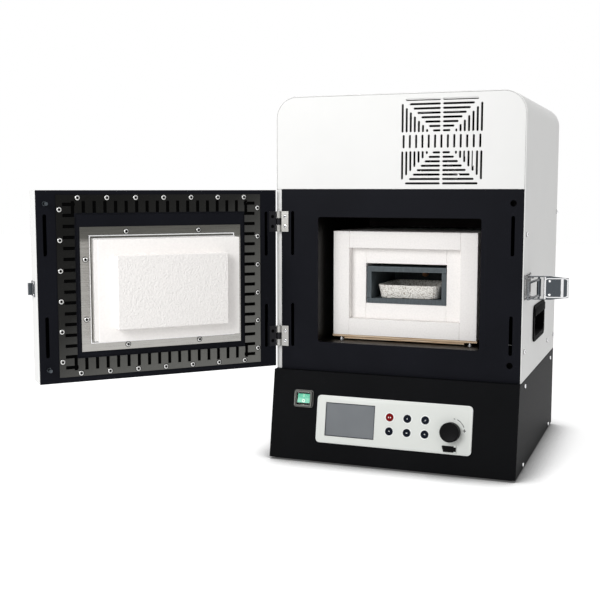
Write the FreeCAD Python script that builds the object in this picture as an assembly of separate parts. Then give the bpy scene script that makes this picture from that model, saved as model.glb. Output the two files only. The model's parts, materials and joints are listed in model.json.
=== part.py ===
import FreeCAD, Part
import math
import os
from FreeCAD import Vector as V

os.makedirs("parts", exist_ok=True)

# Bench-top microwave sintering furnace, millimetres, +Z up, -Y is the front, origin on the floor
# under the middle of the case. The door stands open at rest, as it is first seen.

# Case
case_w = 372.0
case_d = 359.0
foot_h = 3.0
deck_z = 134.9
case_h = 410.4
toe_top = 9.2
toe_bottom = 31.4
sheet = 1.5
base_t = 2.0
panel_t = 2.0
corner_r = 32.0
seam = 0.5
plate_h = 273.1
fit = 0.2

# Cavity and the boards in it
cav_x = 3.2
cav_w = 244.8
cav_floor = 43.9
cav_h = 188.2
cav_d = 262.0
ins_front = 37.5
ins_back = 19.5
ins_lift = 7.7
board = 25.4
rec_w = 170.7
rec_h = 107.8
rec_d = 12.5
inner_w = 125.0
inner_h = 61.0
sus_w = 122.0
sus_h = 56.3
sus_t = 7.2
sus_side_t = 6.5
tray_w = 98.0
tray_h = 20.0
tray_wall = 6.0
tray_draft = 4.5
tray_r = 15.0

# Door
hinge_in = 4.5
hinge_y = -2.7
open_deg = 132.9
door_low = 4.6
door_high = 1.0
door_t = 40.0
barrel_r = 4.0
pin_r = 1.5
hinge_len = 30.8
hinge_low = 30.7
hinge_high = 31.8

# Comb and plug on the door
comb_w = 305.0
comb_h = 253.5
comb_rail = 9.0
comb_slot = 4.6
comb_cut = 16.5
slot_pitch_s = 15.24
slot_pitch_z = 15.11
flange_w = 240.3
flange_h = 174.5
base_block_w = 208.8
base_block_h = 141.2
base_face = 36.0
plug_gap = 1.7

# Controls on the sloping front
ctrl_x0 = -112.5
ctrl_x1 = 122.3
ctrl_h0 = 31.5
ctrl_h1 = 102.4
ctrl_t = 3.0
button_d = 11.0
button_x = (0.8, 27.4, 54.0)
button_h = (77.3, 56.9)
press = 1.2
knob_d = 28.4
knob_x = 92.4
knob_h = 63.6

# Latch on the right side
latch_up = 135.9
latch_y = 18.0
latch_out = 7.0
lever_len = 50.0
lever_deg = 75.0
crank = 12.0

# Fan and grille
fan_x = 66.5
fan_up = -0.95
fan_size = 120.0
fan_t = 25.4
grille_w = 3.0

# Side handles, power parts and microwave feed
handle_w = 115.0
handle_h = 55.0
handle_up = 45.0
handle_back = 100.0
guide_w = 96.0
guide_d = 95.0
guide_h = 46.0
coil_w = 110.0
coil_d = 64.0
coil_h = 92.0
can_w = 100.0
can_h = 56.0

# Places that follow from the sizes
y_front = -(case_d - toe_bottom) / 2.0
y_rear = y_front + case_d
top_z = deck_z + case_h
seam_z = deck_z + plate_h
fan_z = (seam_z + top_z) / 2.0 + fan_up
latch_z = deck_z + latch_up
half_w = case_w / 2.0
inside_w = half_w - sheet
cav_z0 = deck_z + cav_floor
cav_z1 = cav_z0 + cav_h
cav_x0 = cav_x - cav_w / 2.0
cav_x1 = cav_x + cav_w / 2.0
ins_w = rec_w + 2.0 * board
ins_h = rec_h + 2.0 * board
ins_d = cav_d - ins_front - ins_back
ins_x0 = cav_x + 0.2 - ins_w / 2.0
ins_z0 = cav_z0 + ins_lift
ins_y0 = y_front + ins_front
ins_y1 = ins_y0 + ins_d
rec_x0 = ins_x0 + board
rec_z0 = ins_z0 + board
face_y = ins_y0 + rec_d
back_y = ins_y1 - board
wall_x = (rec_w - inner_w) / 2.0
wall_z = (rec_h - inner_h) / 2.0
in_x0 = rec_x0 + wall_x
in_z0 = rec_z0 + wall_z
mid_x = in_x0 + inner_w / 2.0
back_inner_y = back_y - wall_z
sus_x0 = mid_x - sus_w / 2.0
sus_y0 = face_y + 2.0
sus_y1 = back_inner_y - 0.7
tray_y0 = sus_y0 + 8.0
tray_d = sus_y1 - 25.0 - tray_y0
lean = math.degrees(math.atan2(deck_z, toe_bottom - toe_top))
axis_x = hinge_in - half_w
axis_y = y_front + hinge_y
door_s0 = hinge_in
door_s1 = case_w - 2.0 * hinge_in
door_z0 = deck_z + door_low
door_z1 = seam_z - door_high
block_s = cav_x - axis_x - 0.7
block_z = rec_z0 + rec_h / 2.0 + 1.5
comb_s = (door_s0 + door_s1) / 2.0 - 0.25
comb_z = (door_z0 + door_z1) / 2.0 + 1.0
hinge_bands = ((door_z0 + hinge_low, door_z0 + hinge_low + hinge_len),
               (door_z1 - hinge_high - hinge_len, door_z1 - hinge_high))


def box(x0, x1, y0, y1, z0, z1):
    return Part.makeBox(x1 - x0, y1 - y0, z1 - z0, V(x0, y0, z0))


def rod(r, p, q):
    a = V(*p)
    d = V(*q) - a
    return Part.makeCylinder(r, d.Length, a, d)


def ngon(r, sides):
    """A ring of equal sides with its corners on the radius"""
    step = 2.0 * math.pi / sides
    ring = [V(r * math.cos(i * step), r * math.sin(i * step), 0) for i in range(sides)]
    return Part.makePolygon(ring + [ring[0]])


def place(shape, p, out):
    """Turns a shape drawn along z so that it runs along out, and moves it to p"""
    turn = FreeCAD.Rotation(V(0, 0, 1), V(*out))
    shape.rotate(V(0, 0, 0), turn.Axis, math.degrees(turn.Angle))
    shape.translate(V(*p))
    return shape


# Small round things that repeat are drawn with flats: a peg's corners lie on its radius, and the
# flats of the hole that it goes into lie on the hole's radius
def peg(r, p, q, sides=12):
    d = V(*q) - V(*p)
    return place(Part.Face(ngon(r, sides)).extrude(V(0, 0, d.Length)), p, d)


def bore(r, p, q, sides=12):
    return peg(r / math.cos(math.pi / sides), p, q, sides)


def prism(points, along):
    wire = Part.makePolygon([V(*p) for p in points] + [V(*points[0])])
    return Part.Face(wire).extrude(V(*along))


def soft_corners(a0, a1, b0, b1, r, flats=4):
    """Points round a rectangle whose corners are rounded by a few short flats each"""
    ring = []
    middles = ((a1 - r, b1 - r), (a0 + r, b1 - r), (a0 + r, b0 + r), (a1 - r, b0 + r))
    for i, (a, b) in enumerate(middles):
        for k in range(flats + 1):
            turn = math.radians(90.0 * (i + k / flats))
            ring.append((a + r * math.cos(turn), b + r * math.sin(turn)))
    return ring


def stacked(rings):
    """A solid of flat faces through rings of equally many points"""
    rings = [[V(*p) for p in ring] for ring in rings]
    faces = [Part.Face(Part.makePolygon(ring + [ring[0]])) for ring in (rings[0], rings[-1])]
    for low, high in zip(rings, rings[1:]):
        for i, p in enumerate(low):
            j = (i + 1) % len(low)
            faces.append(Part.Face(Part.makePolygon([p, low[j], high[j], high[i], p])))
    solid = Part.Solid(Part.Shell(faces))
    if solid.Volume < 0:
        solid.reverse()
    return solid


# Boxes with four rounded edges, which run along z, y or x
def soft_box_z(x0, x1, y0, y1, z0, z1, r):
    return prism([(x, y, z0) for x, y in soft_corners(x0, x1, y0, y1, r)], (0, 0, z1 - z0))


def soft_box_y(x0, x1, y0, y1, z0, z1, r):
    return prism([(x, y0, z) for x, z in soft_corners(x0, x1, z0, z1, r)], (0, y1 - y0, 0))


def soft_box_x(x0, x1, y0, y1, z0, z1, r):
    return prism([(x0, y, z) for y, z in soft_corners(y0, y1, z0, z1, r)], (x1 - x0, 0, 0))


def screw(p, out, r, h):
    """A screw head, seated on the face that it clamps"""
    return place(Part.Face(ngon(r, 6)).extrude(V(0, 0, h)), p, out)


def on_slope(shape):
    """Carries a shape drawn flat onto the sloping front"""
    moved = shape.copy()
    moved.rotate(V(0, 0, 0), V(1, 0, 0), lean)
    moved.translate(V(0, y_front - toe_bottom, 0))
    return moved


def on_door(shape):
    """Carries a shape drawn on the shut door to where the open door stands"""
    moved = shape.copy()
    moved.translate(V(axis_x, axis_y, 0))
    moved.rotate(V(axis_x, axis_y, 0), V(0, 0, 1), -open_deg)
    return moved


def slot(cx, cz, w, h, y0, y1, cut=0.28):
    """An upright slot in the front plane, its corners cut off"""
    c = cut * min(w, h)
    u = w / 2.0
    v = h / 2.0
    right = ((u - c, -v), (u, -v + c), (u, v - c), (u - c, v))
    ring = right + tuple((-a, -b) for a, b in right)
    return prism([(cx + a, y0, cz + b) for a, b in ring], (0, y1 - y0, 0))


def save(name, shapes):
    """Writes one node's solids to its STEP file"""
    group = shapes if isinstance(shapes, list) else [shapes]
    solids = []
    for shape in group:
        solids += shape.Solids
    out = solids[0] if len(solids) == 1 else Part.makeCompound(solids)
    out.exportStep("parts/" + name + ".step")


# Places of the case screws on each side, from the front plane back and from the floor up
cover_screws = ((21, seam_z - 63), (20, deck_z + 43), (case_d - 6, seam_z - 38),
                (case_d - 87, deck_z + 24.6), (case_d - 9, deck_z + 24.5))
base_screws = ((35, deck_z - 9.4), (case_d - 44, deck_z - 11.3), (case_d - 49, foot_h + 7), (32, foot_h + 7))


# Base: a tray with floor, side and rear skirts, behind a sloping front plate
def slope_y(z, back):
    return y_front - toe_bottom + (toe_bottom - toe_top) * z / deck_z + back


slab = base_t / math.sin(math.radians(lean))
deck_under = deck_z - base_t


def base_prism(x0, x1, z0, z1, back, y1):
    points = ((x0, slope_y(z0, back), z0), (x0, slope_y(z1, back), z1), (x0, y1, z1), (x0, y1, z0))
    return prism(points, (x1 - x0, 0, 0))


inlet_z = foot_h + 62.0
inlet_w = 27.0
inlet_h = 47.0
inlet_x = -110.0
base = base_prism(-half_w, half_w, foot_h, deck_under, slab, y_rear)
hollow = base_prism(base_t - half_w, half_w - base_t, foot_h + base_t, deck_z, -5.0, y_rear - base_t)
base = base.cut(hollow)
base = base.cut(box(inlet_x - inlet_w / 2, inlet_x + inlet_w / 2, y_rear - 5, y_rear + 1,
                    inlet_z - inlet_h / 2, inlet_z + inlet_h / 2))
vents = [box(18.0 + 12.0 * i, 22.0 + 12.0 * i, y_rear - 5, y_rear + 1, foot_h + 40, foot_h + 100)
         for i in range(9)]
save("base_tray", base.cut(vents))

points = [(-half_w, slope_y(z, b), z) for z, b in ((foot_h, 0), (deck_z, 0), (deck_z, slab), (foot_h, slab))]
front = prism(points, (case_w, 0, 0))
win_x0 = ctrl_x0 + 6.0
win_x1 = ctrl_x1 - 3.0
front = front.cut(on_slope(box(win_x0, win_x1, ctrl_h0 + 2.4, ctrl_h1 - 6.0, -5, 5)))
sw_x = 51.2 - half_w
sw_h = 94.8
sw_w = 31.0
sw_v = 26.6
front = front.cut(on_slope(box(sw_x - 11.5, sw_x + 11.5, sw_h - 9.5, sw_h + 9.5, -5, 5)))
save("base_front", front)

deck = base_prism(-half_w, half_w, deck_under, deck_z, slab, y_rear)
cable_y = y_rear - 60.0
cable_x = half_w - 36.0
cable_r = 12.0
deck = deck.cut([box(x - cable_r, x + cable_r, cable_y - cable_r, cable_y + cable_r,
                     deck_under - 1, deck_z + 1) for x in (-cable_x, cable_x)])
save("base_deck", deck)

foot_in = 6.0
foot_w = 12.0
foot_y0 = slope_y(foot_h, slab) + foot_in
foot_x = half_w - foot_in
foot = box(-foot_x, foot_x, foot_y0, y_rear - foot_in, 0, foot_h)
inside = box(foot_w - foot_x, foot_x - foot_w, foot_y0 + foot_w, y_rear - foot_in - foot_w, -1, foot_h + 1)
save("foot_strip", foot.cut(inside))

# Screws of the butt hinges
hinge_screw_s = 10.0
leaf_head = 0.2
hinge_screws = [(axis_x + hinge_screw_s, z) for band in hinge_bands for z in (band[0] + 8, band[1] - 8)]


# Upper cover: one bent sheet for both sides and the roof, with a return flange behind the front
def arch(half, z1, r, y0, y1):
    lip = r * (1.0 - math.sqrt(0.5))
    left = Part.Arc(V(-half, y0, z1 - r), V(-half + lip, y0, z1 - lip), V(-half + r, y0, z1))
    right = Part.Arc(V(half - r, y0, z1), V(half - lip, y0, z1 - lip), V(half, y0, z1 - r))
    lines = (
        (V(-half, y0, deck_z), V(-half, y0, z1 - r)),
        (V(-half + r, y0, z1), V(half - r, y0, z1)),
        (V(half, y0, z1 - r), V(half, y0, deck_z)),
        (V(half, y0, deck_z), V(-half, y0, deck_z)),
    )
    edges = [Part.LineSegment(*line).toShape() for line in lines] + [left.toShape(), right.toShape()]
    return Part.Face(Part.Wire(Part.__sortEdges__(edges))).extrude(V(0, y1 - y0, 0))


strip_w = 8.4
return_w = 9.0
cover = arch(half_w, top_z, corner_r, y_front, y_rear)
cover = cover.cut(arch(inside_w, top_z - sheet, corner_r - sheet, y_front - 1, y_rear + 1))
lip = arch(inside_w, top_z - sheet, corner_r - sheet, y_front + panel_t, y_front + panel_t + sheet)
gap = arch(inside_w - return_w, top_z - sheet - return_w, corner_r - sheet - return_w, y_front, y_rear)
cover = cover.fuse(lip.cut(gap)).removeSplitter()
cover = cover.cut(box(-half_w - 1, -inside_w + 0.01, y_front - 1, y_front + panel_t, deck_z - 1, seam_z))
handle_y0 = y_front + handle_back
handle_y1 = handle_y0 + handle_w
handle_z0 = deck_z + handle_up
handle_z1 = handle_z0 + handle_h
rim = 6.0


def corner_cut_box(x0, x1, grow, c):
    """A box across the handle's opening, its four long edges cut off"""
    back = rim - grow
    shape = box(x0, x1, handle_y0 + back, handle_y1 - back, handle_z0 + back, handle_z1 - back)
    return shape.makeChamfer(c, [e for e in shape.Edges if abs(e.tangentAt(0).x) > 0.9])


for side in (-1, 1):
    cover = cover.cut(corner_cut_box(side * half_w - 10, side * half_w + 10, 0.0, 8.0))
save("cover", cover)

front_x0 = -half_w + strip_w
lock_x = half_w - 16.2
plate_hole = ((lock_x, seam_z - 19.3), (lock_x - 0.6, deck_z + 24.9))
pin_hole_r = 4.5
plate = box(front_x0, inside_w - fit, y_front, y_front + panel_t, deck_z + fit, seam_z)
plate = plate.cut(soft_box_y(cav_x0, cav_x1, y_front - 1, y_front + 9, cav_z0, cav_z1, 3.5))
slot_w = 5.0
for x, h, low, high in ((26.0 - half_w, 66.0, 35.3, 32.6), (lock_x, 56.0, 39.3, 37.0)):
    for z in (deck_z + low + h / 2, seam_z - high - h / 2):
        plate = plate.cut(slot(x, z, slot_w, h, y_front - 1, y_front + 9))
for x, z in plate_hole:
    plate = plate.cut(bore(pin_hole_r, (x, y_front - 1, z), (x, y_front + 9, z), 16))
save("front_plate", plate)

# Top front panel with its grille of mitred slots round a band of plain upright slots
panel = arch(inside_w - fit, top_z - sheet - fit, corner_r - sheet - fit, y_front, y_front + panel_t)
panel = panel.common(box(-half_w, half_w, y_front - 1, y_rear, seam_z + seam, top_z))
slots = []
for k in range(8):
    reach = 52.4 - 5.7 * k
    inner = 1.7
    rise = 59.2 - 6.25 * k
    for sx in (-1, 1):
        for sz in (-1, 1):
            slots.append((fan_x + sx * (inner + reach) / 2, fan_z + sz * rise, reach - inner, grille_w))
for k in range(7):
    out = 57.0 - 6.0 * k
    top = 53.6 - 6.0 * k
    low = 13.4
    for sx in (-1, 1):
        for sz in (-1, 1):
            slots.append((fan_x + sx * out, fan_z + sz * (low + top) / 2, grille_w, top - low))
for k in range(13):
    slots.append((fan_x + (k - 6) * 9.2, fan_z + 0.4, grille_w, 19.0))
panel = panel.cut(Part.makeCompound([box(x - w / 2, x + w / 2, y_front - 1, y_front + 9, z - h / 2, z + h / 2)
                                     for x, z, w, h in slots]))
save("grille_panel", panel)

rear = arch(inside_w - fit, top_z - sheet - fit, corner_r - sheet - fit, y_rear - sheet, y_rear)
rear = rear.common(box(-half_w, half_w, y_rear - 5, y_rear + 5, deck_z + fit, top_z))
vents = [box(14.0 * i - 2.5, 14.0 * i + 2.5, y_rear - 5, y_rear + 1, seam_z + 22, seam_z + 102)
         for i in range(-5, 6)]
tc_x = cav_x - 1.0
tc_z = block_z + 4.1
tc_r = 3.0
rear = rear.cut(vents).cut(bore(tc_r + fit, (tc_x, y_rear - 9, tc_z), (tc_x, y_rear + 9, tc_z)))
save("rear_panel", rear)

# Cavity liner: an open box with a flange against the back of the front plate, on two rails
liner_y1 = y_front + cav_d
guide_x0 = mid_x - guide_w / 2
guide_x1 = mid_x + guide_w / 2
guide_y1 = liner_y1 - 27.0
guide_y0 = guide_y1 - guide_d
window = (guide_x0 + 3.0, guide_x1 - 3.0, guide_y0 + 10.0, guide_y0 + 50.0)
liner_y0 = y_front + panel_t
lip = 13.0
liner = box(cav_x0 - sheet, cav_x1 + sheet, liner_y0, liner_y1 + sheet, cav_z0 - sheet, cav_z1 + sheet)
flange = box(cav_x0 - lip, cav_x1 + lip, liner_y0, liner_y0 + sheet, cav_z0 - lip, cav_z1 + lip)
liner = liner.fuse(flange)
liner = liner.cut(box(cav_x0, cav_x1, y_front, liner_y1, cav_z0, cav_z1))
liner = liner.cut(box(window[0], window[1], window[2], window[3], cav_z1 - 1, cav_z1 + 9))
liner = liner.cut(bore(tc_r + fit, (tc_x, liner_y1 - 9, tc_z), (tc_x, liner_y1 + 9, tc_z)))
for x in (cav_x0 + 20, cav_x1 - 20):
    liner = liner.fuse(box(x - 8, x + 8, y_front + 20, liner_y1 - 10, deck_z, cav_z0 - sheet)
                       .cut(box(x - 6.5, x + 6.5, y_front, y_rear, deck_z + sheet, cav_z0 - 2 * sheet)))
save("cavity_liner", liner)

# Support plate on four screw feet, carrying the boards clear of the cavity floor
plate_t = 3.0
shelf = box(ins_x0 - 1, ins_x0 + ins_w + 1, ins_y0, ins_y1, ins_z0 - plate_t, ins_z0)
save("support_plate", shelf)
shoes = []
for x in (ins_x0 + 12, ins_x0 + ins_w - 10):
    for y in (ins_y0 + 7, ins_y1 - 12):
        shoes.append(peg(5.0, (x, y, cav_z0), (x, y, ins_z0 - plate_t), 8))
save("support_feet", shoes)

# Outer boards: full-height sides with top and bottom boards between them, then the back board
z1 = ins_z0 + ins_h
x1 = ins_x0 + ins_w
save("outer_side_boards", [box(ins_x0, rec_x0, ins_y0, ins_y1, ins_z0, z1),
                           box(x1 - board, x1, ins_y0, ins_y1, ins_z0, z1)])
save("outer_cross_boards", [box(rec_x0, x1 - board, ins_y0, ins_y1, ins_z0, rec_z0),
                            box(rec_x0, x1 - board, ins_y0, ins_y1, z1 - board, z1)])
tc_bore = [bore(tc_r + fit, (tc_x, y_front, tc_z), (tc_x, y_rear, tc_z))]
in_z1 = in_z0 + inner_h
save("back_boards", [box(rec_x0, x1 - board, back_y, ins_y1, rec_z0, z1 - board).cut(tc_bore),
                     box(in_x0, in_x0 + inner_w, back_inner_y, back_y, in_z0, in_z1).cut(tc_bore)])
save("inner_side_boards", [box(rec_x0, in_x0, face_y, back_y, rec_z0, rec_z0 + rec_h),
                           box(in_x0 + inner_w, rec_x0 + rec_w, face_y, back_y, rec_z0, rec_z0 + rec_h)])
save("inner_cross_boards", [box(in_x0, in_x0 + inner_w, face_y, back_y, rec_z0, in_z0),
                            box(in_x0, in_x0 + inner_w, face_y, back_y, in_z1, rec_z0 + rec_h)])

# Heating box of five plates that soak up the microwaves, and the crucible tray inside it
sus_x1 = sus_x0 + sus_w
sus_z1 = in_z0 + sus_h
save("heating_box", [
    box(sus_x0, sus_x1, sus_y0, sus_y1, in_z0, in_z0 + sus_t),
    box(sus_x0, sus_x1, sus_y0, sus_y1, sus_z1 - sus_t, sus_z1),
    box(sus_x0, sus_x0 + sus_side_t, sus_y0, sus_y1, in_z0 + sus_t, sus_z1 - sus_t),
    box(sus_x1 - sus_side_t, sus_x1, sus_y0, sus_y1, in_z0 + sus_t, sus_z1 - sus_t),
    box(sus_x0 + sus_side_t, sus_x1 - sus_side_t, sus_y1 - sus_t, sus_y1, in_z0 + sus_t, sus_z1 - sus_t)
    .cut(tc_bore),
])
tray_z = in_z0 + sus_t + 0.3


def dish(wall, low, high):
    """A shallow tapered form that stands wall inside the tray's outside"""
    rings = []
    foot_r = tray_r - tray_draft - wall / 2
    for inset, r, z in ((tray_draft + wall, foot_r, low), (wall, tray_r - wall / 2, high)):
        ring = soft_corners(mid_x - tray_w / 2 + inset, mid_x + tray_w / 2 - inset,
                            tray_y0 + inset, tray_y0 + tray_d - inset, r)
        rings.append([(x, y, z) for x, y in ring])
    return stacked(rings)


bowl = dish(0.0, tray_z, tray_z + tray_h)
bowl = bowl.cut(dish(tray_wall, tray_z + tray_wall, tray_z + tray_h + 0.01))
save("tray", bowl)

save("thermocouple", [peg(tc_r, (tc_x, sus_y1 - 22, tc_z), (tc_x, y_rear + 6, tc_z))
                      .fuse(peg(9.0, (tc_x, y_rear, tc_z), (tc_x, y_rear + 12, tc_z), 6))
                      .fuse(peg(6.0, (tc_x, y_rear + 12, tc_z), (tc_x, y_rear + 24, tc_z)))])

# Microwave feed on the cavity roof
roof = cav_z1 + sheet
mag_z = roof + guide_h
guide = box(guide_x0, guide_x1, guide_y0, guide_y1, roof, mag_z)
guide = guide.cut(box(guide_x0 + 2, guide_x1 - 2, guide_y0 + 2, guide_y1 - 2, roof - 1, mag_z - 2))
ant_y = guide_y1 - 30.0
ant_r = 9.0
guide = guide.cut(bore(ant_r + 4, (mid_x, ant_y, mag_z - 5), (mid_x, ant_y, mag_z + 5)))
save("waveguide", guide)

# Magnetron: foot plate, yoke round a stack of fins, filter box on top and its antenna below
yoke_w = 0.75 * guide_w
yoke_d = 0.67 * guide_d
yoke_h = 1.3 * guide_h
fin_pitch = yoke_h / 7.5
mag = box(guide_x0 + 1, guide_x1 - 1, ant_y - 40, ant_y + 40, mag_z, mag_z + 2)
mag = mag.fuse(box(mid_x - yoke_w / 2, mid_x + yoke_w / 2, ant_y - yoke_d / 2, ant_y + yoke_d / 2,
                   mag_z + 2, mag_z + yoke_h))
gaps = [box(mid_x - yoke_w / 2 + 2, mid_x + yoke_w / 2 - 2, ant_y - yoke_d, ant_y + yoke_d,
            mag_z + 6 + fin_pitch * i, mag_z + 4 + fin_pitch * (i + 0.6)) for i in range(7)]
mag = mag.cut(Part.makeCompound(gaps))
mag = mag.fuse(box(mid_x - 12, mid_x + 12, ant_y - 12, ant_y + 12, mag_z + 2, mag_z + yoke_h))
mag = mag.fuse(peg(ant_r, (mid_x, ant_y, mag_z - 0.6 * guide_h), (mid_x, ant_y, mag_z + 2)))
filter_box = box(mid_x - yoke_w / 3, mid_x + yoke_w / 3, ant_y - 30, ant_y + 30,
                 mag_z + yoke_h, mag_z + 2.0 * guide_h)
save("magnetron", mag.fuse(filter_box))

# Power parts standing in the base
floor_z = foot_h + base_t
tx = half_w / 2
ty = y_rear - 120.0
leg = coil_w / 6
core_z1 = floor_z + coil_h
core = box(tx - 3 * leg, tx + 3 * leg, ty - coil_d / 2, ty + coil_d / 2, floor_z, core_z1)
core = core.cut([box(tx + a * leg, tx + (a + 1) * leg, ty - coil_d, ty + coil_d, floor_z + leg, core_z1 - leg)
                 for a in (-2, 1)])
coil = box(tx - 2 * leg + 1, tx + 2 * leg - 1, ty - 0.8 * coil_d, ty + 0.8 * coil_d,
           floor_z + leg + 1, core_z1 - leg - 1)
coil = coil.cut(box(tx - leg, tx + leg, ty - coil_d / 2, ty + coil_d / 2, floor_z, core_z1))
save("transformer", [core, coil])
can_x = -0.3 * can_w
can_y = y_rear - 110.0
can = box(can_x - can_w / 2, can_x + can_w / 2, can_y - can_h / 3, can_y + can_h / 3,
          floor_z, floor_z + can_h)
can = can.makeChamfer(can_h / 6, [e for e in can.Edges if abs(e.tangentAt(0).x) > 0.9])
can = can.fuse([box(can_x + can_w / 2, can_x + can_w / 2 + 10, can_y - 3, can_y + 3,
                    floor_z + can_h * a, floor_z + can_h * a + 0.8) for a in (0.3, 0.7)])
save("capacitor", can)

inlet = slot(inlet_x, inlet_z, 32.0, 62.0, y_rear, y_rear + 3, 0.1)
inlet = inlet.fuse(box(inlet_x - inlet_w / 2 + fit, inlet_x + inlet_w / 2 - fit, y_rear - 24, y_rear,
                       inlet_z - inlet_h / 2 + fit, inlet_z + inlet_h / 2 - fit))
inlet = inlet.cut(box(inlet_x - 11, inlet_x + 11, y_rear - 17, y_rear + 4, inlet_z - 17, inlet_z + 1))
pins = [box(inlet_x + a - 2, inlet_x + a + 2, y_rear - 19, y_rear - 1, inlet_z + b - 1, inlet_z + b + 1)
        for a, b in ((-6.5, -10.5), (6.5, -10.5), (0.0, -5.0))]
fuse_door = box(inlet_x - 10, inlet_x + 10, y_rear + 3, y_rear + 5, inlet_z + 6, inlet_z + 22)
save("power_inlet", inlet.fuse(pins).fuse(fuse_door))

# Cooling fan behind the grille
fy = y_front + panel_t + sheet
half = fan_size / 2
frame = box(fan_x - half, fan_x + half, fy, fy + fan_t, fan_z - half, fan_z + half)
frame = frame.makeChamfer(4.0, [e for e in frame.Edges if abs(e.tangentAt(0).y) > 0.9])
frame = frame.cut(bore(half - 3, (fan_x, fy - 1, fan_z), (fan_x, fy + fan_t + 1, fan_z), 24))
hub_y = fy + fan_t - 5
for a in range(4):
    strut = box(0, half - 2, -3, 3, hub_y + 1, hub_y + 4)
    strut.rotate(V(0, 0, 0), V(0, 0, 1), 45 + 90 * a)
    strut.rotate(V(0, 0, 0), V(1, 0, 0), 90)
    strut.translate(V(fan_x, 2 * hub_y + 5, fan_z))
    frame = frame.fuse(strut)
frame = frame.fuse(peg(22.0, (fan_x, hub_y + 1, fan_z), (fan_x, fy + fan_t, fan_z)))
axle_r = 2.5
frame = frame.cut(bore(axle_r + 0.05, (fan_x, hub_y, fan_z), (fan_x, fy + 40, fan_z)))
bracket = box(fan_x - half, fan_x + half, y_front + panel_t, fy, fan_z + half - 8, fan_z + half - 2)
frame = frame.fuse(bracket)
low = box(fan_x - half, fan_x + half, y_front + panel_t, fy, fan_z - half, fan_z - half + 2)
frame = frame.fuse(low)
save("fan_housing", frame)

rotor = peg(20.0, (fan_x, fy + 3, fan_z), (fan_x, hub_y, fan_z), 24)
rotor = rotor.fuse(rod(axle_r, (fan_x, hub_y - 1, fan_z), (fan_x, fy + fan_t - 0.5, fan_z)))
for a in range(7):
    blade = box(15, 56, -1.0, 1.0, -12, 12)
    blade.rotate(V(0, 0, 0), V(1, 0, 0), 52)
    blade = blade.common(box(0, 70, -30, 30, -8.2, 8.2))
    blade.rotate(V(0, 0, 0), V(0, 0, 1), a * 360.0 / 7)
    blade.rotate(V(0, 0, 0), V(1, 0, 0), 90)
    blade.translate(V(fan_x, fy + 11.5, fan_z))
    rotor = rotor.fuse(blade)
save("fan_rotor", rotor)


# Control plate on the slope: x across, y up the slope, z out of it
def bevelled(x0, x1, h0, h1, r, z1, c):
    """A plate on the slope with rounded corners and a sloping rim"""
    foot = soft_corners(x0, x1, h0, h1, r)
    crown = soft_corners(x0 + c, x1 - c, h0 + c, h1 - c, r - c)
    return stacked([[(x, h, z) for x, h in ring] for ring, z in ((foot, 0.0), (foot, z1 - c), (crown, z1))])


scr = (-98.5, -22.0, 42.2, 92.3)
usb = (84.0, 97.4, 36.2, 42.2)
ctrl = bevelled(ctrl_x0, ctrl_x1, ctrl_h0, ctrl_h1, 6.0, ctrl_t, 0.9)
ctrl = ctrl.cut(box(scr[0], scr[1], scr[2], scr[3], -1, 9))
button_at = [(x, h) for h in button_h for x in button_x]
button_sides = 12
for x, h in button_at:
    ctrl = ctrl.cut(bore(button_d / 2 + 0.2, (x, h, -1), (x, h, 9), button_sides))
bush_r = 4.5
ctrl = ctrl.cut(bore(bush_r + fit, (knob_x, knob_h, -1), (knob_x, knob_h, 9)))
ctrl = ctrl.cut(box(usb[0], usb[1], usb[2], usb[3], -1, 9))
board_z = -10.4
studs = [(-15.0, 86.0), (-15.0, 52.0), (113.0, 86.0), (113.0, 40.5)]
ctrl = ctrl.fuse([peg(2.5, (x, h, board_z), (x, h, 0), 6) for x, h in studs])
ears = [box(usb[1] + 0.6, usb[1] + 3.8, a, a + 1.4, ctrl_t - 0.5, ctrl_t + 3.0) for a in (34.4, 42.6)]
ctrl = ctrl.fuse(ears)
flap_x = usb[1] + 2.2
flap_z = ctrl_t + 1.6
flap_r = 0.7
ctrl = ctrl.fuse(rod(flap_r, (flap_x, 34.4, flap_z), (flap_x, 44.0, flap_z)))
save("control_plate", on_slope(ctrl))

flap = box(80.4, flap_x, 34.9, 43.5, ctrl_t + 0.4, ctrl_t + 2.2)
flap = flap.cut(prism([(80, 34, ctrl_t), (83, 34, ctrl_t), (80, 43, ctrl_t)], (0, 0, 3)))
flap = flap.cut([box(flap_x - 2.2, flap_x + 2, a, b, 0, 9) for a, b in ((34, 36.1), (42.3, 44))])
flap = flap.fuse(peg(1.3, (flap_x, 36.1, flap_z), (flap_x, 42.3, flap_z), 8))
flap = flap.cut(bore(flap_r + 0.1, (flap_x, 33, flap_z), (flap_x, 45, flap_z), 8))
save("usb_flap", on_slope(flap))

glass = box(scr[0] + fit, scr[1] - fit, scr[2] + fit, scr[3] - fit, -1.6, ctrl_t - 0.8)
module = box(scr[0] - 4, scr[1] + 3, scr[2] + 1 - 2.5, scr[3] + 4, -7.0, -1.6)
module = module.fuse(box(scr[0] - 2, scr[1] + 1, scr[2] + 4, scr[3] - 4, -11.0, -7.0))
module = module.fuse([box(scr[0] - 4, scr[0] - 1, scr[2], scr[3], -1.6, 0),
                      box(scr[1] + 1, scr[1] + 3, scr[2], scr[3], -1.6, 0)])
save("display", on_slope(glass.fuse(module)))

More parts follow.
